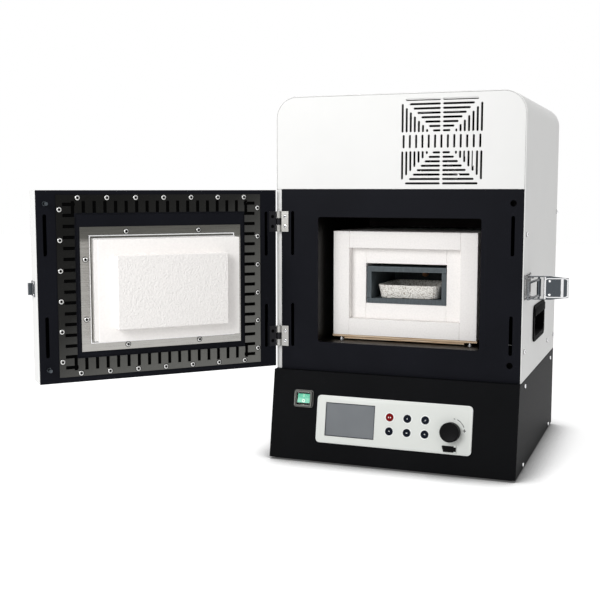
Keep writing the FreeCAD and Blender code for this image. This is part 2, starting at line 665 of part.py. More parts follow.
pcb = box(-18.0, 116.0, 37.0, 92.0, board_z - 1.6, board_z)
parts = [pcb]
for x, h in button_at:
    parts.append(box(x - 3, x + 3, h - 3, h + 3, board_z, board_z + 4)
                 .fuse(peg(1.7, (x, h, board_z + 4), (x, h, -4.0 - press - 0.4), 6)))
spindle_r = 3.0
enc = box(knob_x - 6.5, knob_x + 6.5, knob_h - 6.5, knob_h + 6.5, board_z, -3.4)
enc = enc.fuse(peg(bush_r, (knob_x, knob_h, -3.4), (knob_x, knob_h, ctrl_t + 0.6)))
enc = enc.cut(bore(spindle_r + 0.05, (knob_x, knob_h, -3.4), (knob_x, knob_h, 9)))
parts.append(enc)
port = box(usb[0] + 0.3, usb[1] - 0.3, usb[2] + 0.3, usb[3] - 0.3, board_z, ctrl_t - 0.6)
port = port.cut(box(usb[0] + 0.9, usb[1] - 0.9, usb[2] + 0.9, usb[3] - 0.9, -7.0, 9))
parts.append(port.fuse(box(usb[0] + 1.5, usb[1] - 1.5, usb[2] + 3.2, usb[2] + 4.6, -8.0, ctrl_t - 1.5)))
for x, h, w, d, t in ((8, 67, 14, 5, 2), (40, 67, 10, 6, 1.6), (72, 84, 12, 12, 2), (74, 52, 8, 14, 3)):
    parts.append(box(x - w / 2, x + w / 2, h - d / 2, h + d / 2, board_z - 1.6 - t, board_z - 1.6))
save("control_board", [on_slope(p) for p in parts])

for i, (x, h) in enumerate(button_at):
    cap = peg(button_d / 2, (x, h, -0.3), (x, h, ctrl_t + 1.0), button_sides)
    cap = cap.fuse(peg(button_d / 2 + 1.2, (x, h, -1.8), (x, h, -0.3), 8))
    cap = cap.fuse(peg(2.0, (x, h, -4.0), (x, h, -1.8), 6))
    save("button_%d" % (i + 1), on_slope(cap))

knob = peg(knob_d / 2, (knob_x, knob_h, ctrl_t + 0.8), (knob_x, knob_h, ctrl_t + 14.5), 24)
knob = knob.fuse(rod(spindle_r, (knob_x, knob_h, -3.2), (knob_x, knob_h, ctrl_t + 2)))
save("knob", on_slope(knob))

# Mains switch with a clear splash cover over its rocker
bezel = soft_box_z(sw_x - sw_w / 2, sw_x + sw_w / 2, sw_h - sw_v / 2, sw_h + sw_v / 2, 0, 1.6, 4.0)
body = box(sw_x - 11.2, sw_x + 11.2, sw_h - 9.2, sw_h + 9.2, -18, 0)
pocket = (sw_x - 9.9, sw_x + 9.9, sw_h - 7.9, sw_h + 7.9)
house = bezel.fuse(body).cut(box(*pocket, -6.5, 9))
house = house.fuse([box(x - 2.4, x + 2.4, sw_h + a - 0.4, sw_h + a + 0.4, -25, -18)
                    for x in (sw_x - 5, sw_x + 5) for a in (-6, 0, 6)])
pivot_z = -0.4
nubs = [rod(1.2, (sw_x + s * 10.0, sw_h, pivot_z), (sw_x + s * 9.3, sw_h, pivot_z)) for s in (-1, 1)]
house = house.fuse(nubs)
save("switch_housing", on_slope(house))
rk = prism([(sw_x - 9.6, sw_h - 6.9, 2.9), (sw_x - 9.6, sw_h, 2.0), (sw_x - 9.6, sw_h + 6.9, 2.9),
            (sw_x - 9.6, sw_h + 5.6, -2.2), (sw_x - 9.6, sw_h - 5.6, -2.2)], (19.2, 0, 0))
rk = rk.fuse(box(sw_x - 2, sw_x + 2, sw_h - 1.2, sw_h + 1.2, -5.0, -2.2))
rk = rk.cut([bore(1.3, (sw_x + s * 10.2, sw_h, pivot_z), (sw_x + s * 9.2, sw_h, pivot_z)) for s in (-1, 1)])
rk.rotate(V(sw_x, sw_h, pivot_z), V(1, 0, 0), -8)
save("rocker", on_slope(rk))
boot = soft_box_z(sw_x - 14.2, sw_x + 14.2, sw_h - 12.0, sw_h + 12.0, 1.6, 8.2, 4.0)
boot = boot.cut(box(sw_x - 13.2, sw_x + 13.2, sw_h - 11.0, sw_h + 11.0, 0, 7.4))
save("switch_cover", on_slope(boot))

# Two recessed side handles, their rims over the cut-outs in the cover
handles = []
for side in (-1, 1):
    x = side * half_w
    grip = soft_box_x(0, 2.4, handle_y0, handle_y1, handle_z0, handle_z1, 10.0)
    bucket = corner_cut_box(-26, 1, -fit, 8.0)
    inner = corner_cut_box(-24, 9, -2.0, 7.0)
    hood = box(0, 3.6, handle_y0 + 4, handle_y1 - 4, handle_z1 - 16, handle_z1 - 5)
    brow = box(-8, 9, handle_y0, handle_y1, handle_z1 - 16, handle_z1)
    shape = grip.fuse(hood).fuse(bucket).cut(inner.cut(brow))
    if side < 0:
        shape = shape.mirror(V(0, 0, 0), V(1, 0, 0))
    shape.translate(V(x, 0, 0))
    handles.append(shape)
save("side_handles", handles)

# Butt hinges: three knuckles each, the outer ones on the cabinet leaf, round a plain pin
leaf_t = 2.0
leaf_w = 15.5
knuckles = 3
gap_z = 0.3
fixed = []
swing = []
pins = []
for z0, z1 in hinge_bands:
    step = (z1 - z0) / knuckles
    leaf = box(barrel_r + gap_z, leaf_w, -hinge_y - leaf_t, -hinge_y, z0, z1)
    door_leaf = box(barrel_r + gap_z, leaf_w, -leaf_t, 0.0, z0, z1)
    for k in range(knuckles):
        a = z0 + k * step + gap_z / 2
        b = z0 + (k + 1) * step - gap_z / 2
        ring = peg(barrel_r, (0, 0, a), (0, 0, b), 16)
        if k % 2 == 0:
            leaf = leaf.fuse(ring.fuse(box(2.0, barrel_r + gap_z, -hinge_y - leaf_t, -hinge_y, a, b)))
        else:
            door_leaf = door_leaf.fuse(ring.fuse(box(2.0, barrel_r + gap_z, -leaf_t, 0.0, a, b)))
    pin_hole = bore(pin_r + 0.05, (0, 0, z0 - 1), (0, 0, z1 + 1))
    leaf = leaf.cut(pin_hole)
    leaf.translate(V(axis_x, axis_y, 0))
    fixed.append(leaf)
    swing.append(door_leaf.cut(pin_hole))
    pins.append(rod(pin_r, (axis_x, axis_y, z0 - 0.2), (axis_x, axis_y, z1 + 1.0)))
save("hinge_leaves", fixed)
save("hinge_pins", pins)
save("door_hinge_leaves", [on_door(s) for s in swing])

# Draw latch: base with two ears, lever with a cranked bail that hooks the keeper on the door
out_x = half_w
ly = y_front + latch_y
px = out_x + latch_out
ear_in = 12.8
ear_out = 14.8
cheek_out = 16.6
latch_base = box(out_x, out_x + 1.5, ly - 10, ly + 44, latch_z - 18, latch_z + 18)
for s in (-1, 1):
    a = latch_z + s * ear_in
    b = latch_z + s * ear_out
    ear = peg(5.0, (px, ly, min(a, b)), (px, ly, max(a, b)))
    ear = ear.fuse(box(out_x + 1, px, ly - 5, ly + 5, min(a, b), max(a, b)))
    stub = rod(2.0, (px, ly, latch_z + s * (ear_in + 0.5)), (px, ly, latch_z + s * (cheek_out + 0.3)))
    latch_base = latch_base.fuse(ear).fuse(stub)
for y in (ly + 16, ly + 36):
    for z in (latch_z - 13, latch_z + 13):
        latch_base = latch_base.fuse(peg(2.4, (out_x + 1, y, z), (out_x + 2.4, y, z), 6))
save("latch_base", latch_base)

# The lever is drawn shut along +y with its outer face at +x, then swung to rest
crank_deg = -3.0
cx = crank * math.sin(math.radians(crank_deg))
cy = crank * math.cos(math.radians(crank_deg))
cheek_t = 1.5
face_x = 6.5
web_y = 17.5
cheek = [(-3.6, -3.8), (-4.0, 4.5), (1.0, face_x + 1.5), (lever_len, face_x + 1.5), (lever_len, 4.0),
         (20.0, -2.6), (4.0, -4.5)]
lever = None
for s in (-1, 1):
    a = s * (cheek_out - cheek_t)
    side = prism([(q, p, a) for p, q in cheek], (0, 0, s * cheek_t))
    lever = side if lever is None else lever.fuse(side)
lever = lever.fuse(box(face_x, face_x + 1.5, web_y, lever_len, -cheek_out, cheek_out))
lever = lever.fuse(peg(2.2, (face_x - 0.6, lever_len, -cheek_out), (face_x - 0.6, lever_len, cheek_out)))
for s in (-1, 1):
    wedge = prism([(-9, web_y + 8, s * (cheek_out + 0.1)), (-9, lever_len + 4, s * (cheek_out + 0.1)),
                   (-9, lever_len + 4, s * (cheek_out - 3.0))], (30, 0, 0))
    lever = lever.cut(wedge)
lever = lever.cut(bore(2.05, (0, 0, -20), (0, 0, 20)))
lever = lever.fuse(rod(1.5, (cx, cy, -cheek_out), (cx, cy, cheek_out)))


def at_rest(shape, spin):
    moved = shape.copy()
    if spin:
        moved.rotate(V(0, 0, 0), V(0, 0, 1), -lever_deg)
    moved.translate(V(px, ly, latch_z))
    return moved


save("latch_lever", at_rest(lever, True))

reach_y = 62.5
drop_x = 5.9
arm_in = 9.9
arm_out = 12.4
bail = peg(3.0, (0, 0, -arm_out), (0, 0, arm_out), 16)
for s in (-1, 1):
    arm = prism([(-1.5, 0, s * arm_in), (1.5, 0, s * arm_in), (1.5 - drop_x, -reach_y, s * arm_in),
                 (-1.5 - drop_x, -reach_y, s * arm_in)], (0, 0, s * (arm_out - arm_in)))
    bail = bail.fuse(arm)
bail = bail.fuse(peg(1.5, (-drop_x, -reach_y, -arm_out), (-drop_x, -reach_y, arm_out)))
bail = bail.cut(bore(1.6, (0, 0, -20), (0, 0, 20)))
rest = math.radians(crank_deg + lever_deg)
bail.translate(V(px + crank * math.sin(rest), ly + crank * math.cos(rest), latch_z))
save("latch_bail", bail)

# Interlock switches on brackets behind the two pin holes
locks = []
for x, z in plate_hole:
    locks.append(box(x - 7.5, x - 6, y_front + panel_t, y_front + 34, z - 15, z + 15))
    locks.append(box(x - 6, x + 6, y_front + 14, y_front + 33, z - 12, z + 14)
                 .fuse(peg(1.5, (x, y_front + 12.6, z), (x, y_front + 14, z), 6)))
save("interlock_switches", locks)

# Case screws: cover and base screws on both sides, and the screws of the cabinet hinge leaves
screws = []
for s in (-1, 1):
    for y, z in cover_screws + base_screws:
        screws.append(screw((s * half_w, y_front + y, z), (s, 0, 0), 3.7, 2.2))
for x, z in hinge_screws:
    screws.append(screw((x, y_front - leaf_t, z), (0, -1, 0), 2.6, leaf_head))
save("case_screws", screws)


# Door: white tray outside, black plate inside. Drawn shut in its own frame: x from the hinge axis
# outwards, y towards the cavity, z up
skin = 1.5
plate_in = 2.0
shell = box(door_s0, door_s1, -door_t, -plate_in, door_z0, door_z1)
shell = shell.makeFillet(2.0, [e for e in shell.Edges if e.BoundBox.YMax < -door_t + 1e-6])
shell = shell.cut(box(door_s0 + skin, door_s1 - skin, -door_t + skin, 0, door_z0 + skin, door_z1 - skin))
door_pin_at = [(x - axis_x, z) for x, z in plate_hole]
inner = box(door_s0, door_s1, -plate_in, 0.0, door_z0, door_z1)
for s, h, low, high in ((door_s0 + 16.0, 66.0, 29.8, 32.4), (lock_x - axis_x, 57.0, 36.5, 33.0)):
    for z in (door_z0 + low + h / 2, door_z1 - high - h / 2):
        inner = inner.cut(slot(s, z, slot_w, h, -9, 9))
for z0, z1 in hinge_bands:
    inner = inner.cut(box(0, leaf_w + fit, -9, 9, z0 - fit, z1 + fit))
    shell = shell.cut(box(0, leaf_w + fit, -plate_in - fit, 9, z0 - fit, z1 + fit))
hinge_back = [box(door_s0 + skin, leaf_w + 2, -plate_in - 3, -plate_in, z0 - 6, z1 + 6)
              for z0, z1 in hinge_bands]

comb_s0 = comb_s - comb_w / 2
comb_s1 = comb_s + comb_w / 2
comb_z0 = comb_z - comb_h / 2
comb_z1 = comb_z + comb_h / 2
comb_t = 1.2
gap_in = 2.5
band = comb_rail + comb_cut
comb = box(comb_s0, comb_s1, 0, comb_t, comb_z0, comb_z1)
comb = comb.cut(box(comb_s0 + band, comb_s1 - band, -1, 9, comb_z0 + band, comb_z1 - band))
cuts = []
half_slot = comb_slot / 2
for k in range(16):
    s = comb_s + (k - 7.5) * slot_pitch_s
    for a in (comb_z0 + comb_rail, comb_z1 - band - 1):
        cuts.append(box(s - half_slot, s + half_slot, -1, 9, a, a + comb_cut + 1))
    z = comb_z + (k - 7.5) * slot_pitch_z
    for a in (comb_s0 + comb_rail, comb_s1 - band - 1):
        cuts.append(box(a, a + comb_cut + 1, -1, 9, z - half_slot, z + half_slot))
for s in (comb_s0 + band - half_slot, comb_s1 - band + half_slot):
    for a in (comb_z0 + comb_rail, comb_z1 - band - 1):
        cuts.append(box(s - half_slot, s + half_slot, -1, 9, a, a + comb_cut + 1))
comb = comb.cut(Part.makeCompound(cuts))
rail_mid = comb_rail / 2
comb_screw_s = (comb_w - 56.5) / 6
comb_screw_z = (comb_h - 42.2) / 5
comb_at = [(comb_s - 1.8 + (i - 3) * comb_screw_s, z) for z in (comb_z1 - rail_mid, comb_z0 + rail_mid)
           for i in range(7)]
comb_at += [(s, comb_z + 0.6 + (i - 2.5) * comb_screw_z) for s in (comb_s1 - rail_mid, comb_s0 + rail_mid)
            for i in range(6)]

choke = box(comb_s0 + band + gap_in, comb_s1 - band - gap_in, 0, comb_t, comb_z0 + band + gap_in,
            comb_z1 - band - gap_in)

# Plug holder: a steel tray with a raised wall that grips the fibre block
fl_s0 = block_s - flange_w / 2
fl_s1 = block_s + flange_w / 2
hold_z = block_z + 1.8
fl_z0 = hold_z - flange_h / 2
fl_z1 = hold_z + flange_h / 2
bb_s0 = block_s - base_block_w / 2
bb_s1 = block_s + base_block_w / 2
bb_z0 = hold_z - base_block_h / 2
bb_z1 = hold_z + base_block_h / 2
hold_t = 1.2
wall_up = 14.0
grip = box(fl_s0, fl_s1, comb_t, comb_t + hold_t, fl_z0, fl_z1)
walls = box(bb_s0 - hold_t, bb_s1 + hold_t, comb_t, comb_t + wall_up, bb_z0 - hold_t, bb_z1 + hold_t)
grip = grip.fuse(walls).cut(box(bb_s0, bb_s1, comb_t + hold_t, 99, bb_z0, bb_z1))
plug_at = [(block_s + a * flange_w, z) for z in (fl_z1 - 7, fl_z0 + 7) for a in (-0.225, 0.225)]
plug_at += [(s, hold_z + a * flange_h) for s in (fl_s1 - 7, fl_s0 + 7) for a in (-0.24, 0.24)]
base_block = box(bb_s0, bb_s1, comb_t + hold_t, base_face, bb_z0, bb_z1)
top_w = rec_w - 8.9
top_h = rec_h - 6.0
top_face = ins_front + rec_d - hinge_y - plug_gap
top_block = box(block_s - top_w / 2, block_s + top_w / 2, base_face, top_face,
                block_z - top_h / 2, block_z + top_h / 2)
comb_head = -hinge_y - comb_t - 0.3
head_r = 4.1
door_screws = [screw((s, comb_t, z), (0, 1, 0), head_r, comb_head) for s, z in comb_at]
door_screws += [screw((s, comb_t + hold_t, z), (0, 1, 0), head_r, 1.8) for s, z in plug_at]
for z0, z1 in hinge_bands:
    for z in (z0 + 8, z1 - 8):
        door_screws.append(screw((hinge_screw_s, 0, z), (0, 1, 0), 2.6, leaf_head))
shell = shell.fuse(hinge_back)
lock_pins = []
for s, z in door_pin_at:
    lock_pins.append(peg(2.5, (s, 0.0, z), (s, 13.0, z))
                     .fuse(peg(1.4, (s, 13.0, z), (s, 14.2, z), 6))
                     .fuse(peg(3.4, (s, 0.0, z), (s, 1.6, z), 6)))

# Keeper on the free edge of the door: a foot with a hook that the bail's cross bar drops behind
kz = latch_z
keep_y = -26.5
foot_t = 1.5
keeper = box(door_s1, door_s1 + foot_t, keep_y - 9, keep_y + 9, kz - 11, kz + 11)
keeper = keeper.fuse(box(door_s1, door_s1 + 8.0, keep_y - 1.5, keep_y + 1.5, kz - 8.5, kz + 8.5))
keeper = keeper.fuse([peg(2.0, (door_s1 + 1, keep_y + 6, kz + a), (door_s1 + 2.3, keep_y + 6, kz + a), 8)
                      for a in (-8, 8)])

save("door_shell", on_door(shell))
save("door_plate", on_door(inner))
save("choke_comb", on_door(comb))
save("choke_plate", on_door(choke))
save("plug_holder", on_door(grip))
save("plug_base_block", on_door(base_block))
save("plug_top_block", on_door(top_block))
save("door_screws", [on_door(p) for p in door_screws])
save("interlock_pins", [on_door(p) for p in lock_pins])
save("keeper", on_door(keeper))
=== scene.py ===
import json
import math

import bmesh
import bpy
from bpy.props import FloatProperty, FloatVectorProperty, IntProperty, PointerProperty
from mathutils import Matrix, Vector, noise


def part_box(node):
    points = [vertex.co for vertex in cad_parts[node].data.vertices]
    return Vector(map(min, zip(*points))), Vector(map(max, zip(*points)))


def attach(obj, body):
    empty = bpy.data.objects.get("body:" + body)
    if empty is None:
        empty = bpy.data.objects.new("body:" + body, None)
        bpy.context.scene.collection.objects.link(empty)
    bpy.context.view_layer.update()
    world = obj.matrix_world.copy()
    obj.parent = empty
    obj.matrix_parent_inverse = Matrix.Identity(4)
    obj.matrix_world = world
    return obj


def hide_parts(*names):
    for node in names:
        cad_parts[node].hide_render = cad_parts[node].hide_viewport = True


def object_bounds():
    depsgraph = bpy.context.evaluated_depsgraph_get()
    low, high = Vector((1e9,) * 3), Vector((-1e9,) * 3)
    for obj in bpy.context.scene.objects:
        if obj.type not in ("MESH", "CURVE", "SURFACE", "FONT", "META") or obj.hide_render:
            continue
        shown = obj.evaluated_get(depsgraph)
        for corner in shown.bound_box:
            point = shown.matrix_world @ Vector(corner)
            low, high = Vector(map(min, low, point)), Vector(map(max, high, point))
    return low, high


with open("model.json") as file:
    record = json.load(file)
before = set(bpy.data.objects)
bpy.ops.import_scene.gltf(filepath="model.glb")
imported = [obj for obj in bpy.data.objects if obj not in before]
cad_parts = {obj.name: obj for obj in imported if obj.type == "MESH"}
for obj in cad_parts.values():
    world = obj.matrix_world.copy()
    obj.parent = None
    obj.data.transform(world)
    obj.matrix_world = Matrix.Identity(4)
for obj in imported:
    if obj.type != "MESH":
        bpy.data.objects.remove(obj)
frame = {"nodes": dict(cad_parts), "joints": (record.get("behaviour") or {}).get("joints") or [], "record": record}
cad_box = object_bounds()
nodes = frame["nodes"]

bl_info = {
    "name": "Sintering Furnace Looks",
    "version": (1, 0, 0),
    "blender": (4, 5, 0),
    "location": "View3D > Sidebar > Furnace",
    "description": "Dresses the packed furnace with edges, fasteners and finishes, and lights it",
    "category": "Object",
}

MM = 0.001
WHITE = (1.0, 1.0, 1.0)
# How deep printed marks sit in the face they are on, and how thick they are
SUNK = 0.02 * MM
PRINT = 0.05 * MM
JOINTS = {j["name"]: j for j in frame["joints"]}
BODY_OF = {n: b for b, ns in frame["record"]["behaviour"]["bodies"].items() for n in ns}
SLOT_OF = {s["node"]: s["material_slot"] for s in frame["record"]["subparts"]}
FINISHES = {}


# Settings a user would change
class FurnaceFinish(bpy.types.PropertyGroup):
    """Colours of the furnace's finishes"""
    cover: FloatVectorProperty(name="Cover", description="Powder coat of cover and door", subtype="COLOR",
                               default=(0.76, 0.76, 0.75), min=0, max=1)
    plate: FloatVectorProperty(name="Front plate", description="Satin black of front plate and door plate",
                               subtype="COLOR", default=(0.0050, 0.0054, 0.0080), min=0, max=1)
    base: FloatVectorProperty(name="Base", description="Matte black of the base", subtype="COLOR",
                              default=(0.0040, 0.0042, 0.0048), min=0, max=1)
    board: FloatVectorProperty(name="Board", description="Ceramic fibre boards", subtype="COLOR",
                               default=(0.92, 0.895, 0.875), min=0, max=1)
    heater: FloatVectorProperty(name="Heating box", description="Microwave-absorbing plates", subtype="COLOR",
                                default=(0.062, 0.076, 0.084), min=0, max=1)
    tray: FloatVectorProperty(name="Tray", description="Granular ceramic tray", subtype="COLOR",
                              default=(0.90, 0.87, 0.82), min=0, max=1)
    panel: FloatVectorProperty(name="Control plate", description="Satin white of the control plate",
                               subtype="COLOR", default=(0.68, 0.70, 0.67), min=0, max=1)
    steel: FloatVectorProperty(name="Steel", description="Stainless steel", subtype="COLOR",
                               default=(0.36, 0.355, 0.34), min=0, max=1)


class FurnaceSizes(bpy.types.PropertyGroup):
    """Sizes of the small forms added to the solids"""
    edge: FloatProperty(name="Sheet edge", description="Rounding of sheet metal edges", default=0.35 * MM,
                        min=0, unit="LENGTH", precision=5)
    board_edge: FloatProperty(name="Board edge", description="Rounding of fibre board edges",
                              default=0.9 * MM, min=0, unit="LENGTH", precision=5)
    mould_edge: FloatProperty(name="Moulded edge", description="Rounding of moulded parts", default=0.8 * MM,
                              min=0, unit="LENGTH", precision=5)
    grain: FloatProperty(name="Tray grain", description="Size of the tray's grains", default=1.9 * MM,
                         min=0.0002, unit="LENGTH", precision=5)
    knob_ribs: IntProperty(name="Knob ribs", description="Fine ribs round the knob", default=60, min=12)


class FurnaceStage(bpy.types.PropertyGroup):
    """Camera and lights"""
    lens: FloatProperty(name="Lens", description="Focal length in millimetres", default=60.92, min=10)
    key: FloatProperty(name="Key light", description="Power of the large front left light", default=13.6,
                       min=0, unit="POWER")
    fill: FloatProperty(name="Fill light", description="Power of the right light", default=1.5, min=0,
                        unit="POWER")
    top: FloatProperty(name="Top light", description="Power of the overhead light", default=7.0, min=0,
                       unit="POWER")
    sky: FloatProperty(name="Surroundings", description="Brightness of the room on the object", default=0.55,
                       min=0)


# Places taken from the frame
def low_high(node):
    low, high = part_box(node)
    return Vector(low), Vector(high)


def middle(node):
    low, high = low_high(node)
    return (low + high) / 2


def spots(node, read):
    """A node's vertices as read gives them"""
    return [read(v.co) for v in nodes[node].data.vertices]


def extent(points):
    """The lowest and the highest corner of the box round points"""
    return [Vector([pick(p[k] for p in points) for k in range(3)]) for pick in (min, max)]


def stands(joint):
    """Carries what is drawn about a joint at its least angle to where it stands at rest"""
    entry = JOINTS[joint]
    turn = Matrix.Rotation(-math.radians(entry["range_deg"][0]), 4, Vector(entry["axis"]))
    return Matrix.Translation(entry["pos_m"]) @ turn


def facing(origin, out):
    """A matrix whose z axis points along out"""
    spin = Vector((0, 0, 1)).rotation_difference(Vector(out).normalized()).to_matrix().to_4x4()
    return Matrix.Translation(origin) @ spin


class Slope:
    """The sloping front: x across, h up the slope, out away from it, from the foot of its face"""

    def __init__(self):
        self.out = -Vector(JOINTS["button_1_press"]["axis"]).normalized()
        self.up = self.out.cross(Vector((1, 0, 0)))
        face = max(spots("base_front", self.out.dot))
        self.foot = Vector((0, face / self.out.y, 0))

    def read(self, point):
        rise = point - self.foot
        return point.x, rise.dot(self.up), rise.dot(self.out)

    def frame(self, x, h, out=0.0):
        place = self.foot + Vector((x, 0, 0)) + self.up * h + self.out * out
        axes = Matrix((Vector((1, 0, 0)), self.up, self.out)).transposed().to_4x4()
        return Matrix.Translation(place) @ axes


class Door:
    """The door as it hangs shut, carried to where it stands: s from the hinge out, off to the cavity, z up"""

    def __init__(self):
        swing = JOINTS["door_swing"]
        x, y, _ = swing["pos_m"]
        shut = Matrix.Rotation(-math.radians(swing["range_deg"][0]), 4, Vector(swing["axis"]).normalized())
        self.matrix = Matrix.Translation((x, y, 0)) @ shut
        self.inward = (shut @ Vector((0, 1, 0, 0))).to_3d()

    def at(self, s, off, z):
        return self.matrix @ Vector((s, off, z))

    def read(self, point):
        return self.matrix.inverted() @ point


slope = Slope()
door = Door()


# Shader trees
class Graph:
    """A node tree with short ways to add its nodes"""

    def __init__(self, tree):
        self.tree = tree

    def fill(self, node, inputs):
        """Links an input to another node's output, or sets its value"""
        for socket, value in inputs.items():
            if isinstance(value, bpy.types.NodeSocket):
                self.tree.links.new(value, node.inputs[socket])
            else:
                node.inputs[socket].default_value = value

    def add(self, kind, inputs, **settings):
        node = self.tree.nodes.new("ShaderNode" + kind)
        for name, value in settings.items():
            setattr(node, name, value)
        self.fill(node, inputs)
        return node

    def spread(self, source, low, high, from_low=0.0, from_high=1.0):
        """Takes the range from_low to from_high to the range low to high"""
        return self.add("MapRange", {"Value": source, "From Min": from_low, "From Max": from_high,
                                     "To Min": low, "To Max": high}).outputs["Result"]

    def math(self, operation, first, second):
        return self.add("Math", {0: first, 1: second}, operation=operation).outputs[0]

    def seen_directly(self):
        """1 for rays from the camera, from mirrors and through glass, which see a white studio"""
        path = self.add("LightPath", {}).outputs
        glossy = self.math("MAXIMUM", path["Is Camera Ray"], path["Is Glossy Ray"])
        return self.math("MAXIMUM", glossy, path["Is Transmission Ray"])


class Surface(Graph):
    """A material in the making: a shader, and textures in the object's own coordinates"""

    def __init__(self, name, shader_values):
        self.material = bpy.data.materials.new(name)
        self.material.use_nodes = True
        super().__init__(self.material.node_tree)
        self.shader = self.tree.nodes["Principled BSDF"]
        self.place = self.add("TexCoord", {}).outputs["Object"]
        self.fill(self.shader, shader_values)

    def noise(self, scale, detail, rough=0.55, stretch=None):
        place = self.place
        if stretch:
            place = self.add("Mapping", {"Vector": place, "Scale": stretch}).outputs["Vector"]
        return self.add("TexNoise", {"Vector": place, "Scale": scale, "Detail": detail,
                                     "Roughness": rough}).outputs["Fac"]

    def cells(self, scale):
        return self.add("TexVoronoi", {"Vector": self.place, "Scale": scale}).outputs["Distance"]

    def ramp(self, source, *stops):
        """Colours at positions of the source"""
        node = self.add("ValToRGB", {"Fac": source})
        band = node.color_ramp
        band.elements[0].position = stops[0][0]
        band.elements[1].position = stops[-1][0]
        for position, _ in stops[1:-1]:
            band.elements.new(position)
        for element, (_, colour) in zip(band.elements, stops):
            element.color = (*colour, 1.0)
        return node.outputs["Color"]

    def shades(self, source, colour, *stops):
        """Shades of one colour at positions of the source"""
        return self.ramp(source, *((position, shade(colour, factor)) for position, factor in stops))

    def times(self, colour, other):
        product = self.add("Mix", {0: 1.0, 6: colour, 7: other}, data_type="RGBA", blend_type="MULTIPLY")
        return product.outputs[2]

    def finished(self, tint, rough, *reliefs):
        """The material with its colour, its roughness and its reliefs of given depths"""
        self.fill(self.shader, {"Base Color": tint, "Roughness": rough})
        below = {}
        for height, depth in reliefs:
            node = self.add("Bump", {"Strength": 1.0, "Distance": depth, "Height": height, **below})
            below = {"Normal": node.outputs["Normal"]}
        self.fill(self.shader, below)
        return self.material


def shade(colour, factor):
    return tuple(min(1.0, c * factor) for c in colour)


# Finishes, each with its own fine structure
def powder_coat(name, colour, rough, grain_depth, grain_scale=1400.0, vary=0.04, gloss=0.4):
    coat = Surface(name, {"Specular IOR Level": gloss})
    fine = coat.noise(grain_scale, 3.0)
    tint = coat.shades(coat.noise(9.0, 3.0), colour, (0.3, 1 - vary), (0.7, 1 + vary))
    return coat.finished(tint, coat.spread(fine, rough - 0.05, rough + 0.07), (fine, grain_depth))


def steel_with_painted_reflection(name, node, rough, across, stretch, *stops):
    """Steel with a painted reflection: darker at its top, and away from the hinge by the share across"""
    coat = Surface(name, {"Metallic": 1.0})
    low, high = low_high(node)
    along = across / (high.x - low.x)
    down = (1 - across) / (high.z - low.z)
    slant = coat.add("VectorMath", {0: coat.place, 1: (along, 0.0, -down)}, operation="DOT_PRODUCT")
    start = down * high.z - along * low.x
    # painted reflection: a colour ramp over the part stands in for the dark and light its steel reflects
    painted_reflection_level = coat.spread(slant.outputs["Value"], 0.0, 1.0, -start, 1.0 - start)
    lines = coat.noise(800.0, 5.0, 0.6, stretch)
    streaks = coat.shades(lines, WHITE, (0.3, 0.78), (0.7, 1.0))
    tint = coat.times(coat.ramp(painted_reflection_level, *stops), streaks)
    return coat.finished(tint, coat.spread(lines, rough - 0.04, rough + 0.08), (lines, 0.00001))


def rolled_steel(name, colour, rough, stretch, depth=0.00001):
    coat = Surface(name, {"Metallic": 1.0})
    lines = coat.noise(900.0, 5.0, 0.6, stretch)
    marks = coat.noise(35.0, 4.0)
    tint = coat.shades(lines, colour, (0.25, 0.88), (0.75, 1.08))
    return coat.finished(tint, coat.spread(marks, rough - 0.05, rough + 0.1), (lines, depth))


def polished_steel(name, colour, rough):
    coat = Surface(name, {"Metallic": 1.0})
    smears = coat.noise(60.0, 4.0)
    tint = coat.shades(smears, colour, (0.3, 0.94), (0.7, 1.04))
    return coat.finished(tint, coat.spread(smears, rough, rough + 0.08), (coat.noise(900.0, 2.0), 0.00001))


def moulded_plastic(name, colour, rough, depth=0.00003, gloss=0.3):
    coat = Surface(name, {"Specular IOR Level": gloss})
    fine = coat.noise(1100.0, 3.0)
    handled = coat.noise(45.0, 3.0)
    tint = coat.shades(handled, colour, (0.3, 0.9), (0.7, 1.12))
    return coat.finished(tint, coat.spread(handled, rough - 0.05, rough + 0.08), (fine, depth))


def fibre_board(name, colour, lump_scale, lump_depth, painted_hollow_shade):
    """Vacuum-formed fibre with soft lumps and a fine felt on them, its hollows darker by painted shade"""
    coat = Surface(name, {"Specular IOR Level": 0.15})
    fibres = coat.noise(900.0, 6.0, 0.65, (1.0, 0.35, 1.0))
    lumps = coat.noise(lump_scale, 2.0, 0.4)
    # painted shade: the colour darkens in the hollows between lumps and lightens a little on their tops
    tint = coat.shades(lumps, colour, (0.32, 1.0 - painted_hollow_shade), (0.5, 1.0), (0.7, 1.02))
    return coat.finished(tint, coat.spread(fibres, 0.86, 0.98), (fibres, 0.00015), (lumps, lump_depth))


def heater_plate(name, colour):
    coat = Surface(name, {"Specular IOR Level": 0.35})
    press = coat.noise(500.0, 5.0, stretch=(1.0, 1.0, 0.15))
    speck = coat.noise(1500.0, 2.0)
    tint = coat.shades(press, colour, (0.3, 0.75), (0.7, 1.3))
    return coat.finished(tint, coat.spread(speck, 0.5, 0.72), (press, 0.00012), (speck, 0.00006))


def granular_ceramic(name, colour, grain):
    coat = Surface(name, {"Specular IOR Level": 0.2})
    cells = coat.cells(1.0 / grain)
    small = coat.noise(2.0 / grain, 3.0)
    # painted shade and highlight: the colour lightens at grain centres and darkens to brown-grey in the gaps
    # between grains
    tint = coat.ramp(cells, (0.0, shade(colour, 1.15)), (0.5, colour), (0.68, shade(colour, 0.72)),
                     (0.88, (0.42, 0.36, 0.29)))
    return coat.finished(tint, coat.spread(small, 0.85, 1.0), (coat.spread(cells, 1.0, 0.0), grain * 0.35),
                         (small, grain * 0.1))


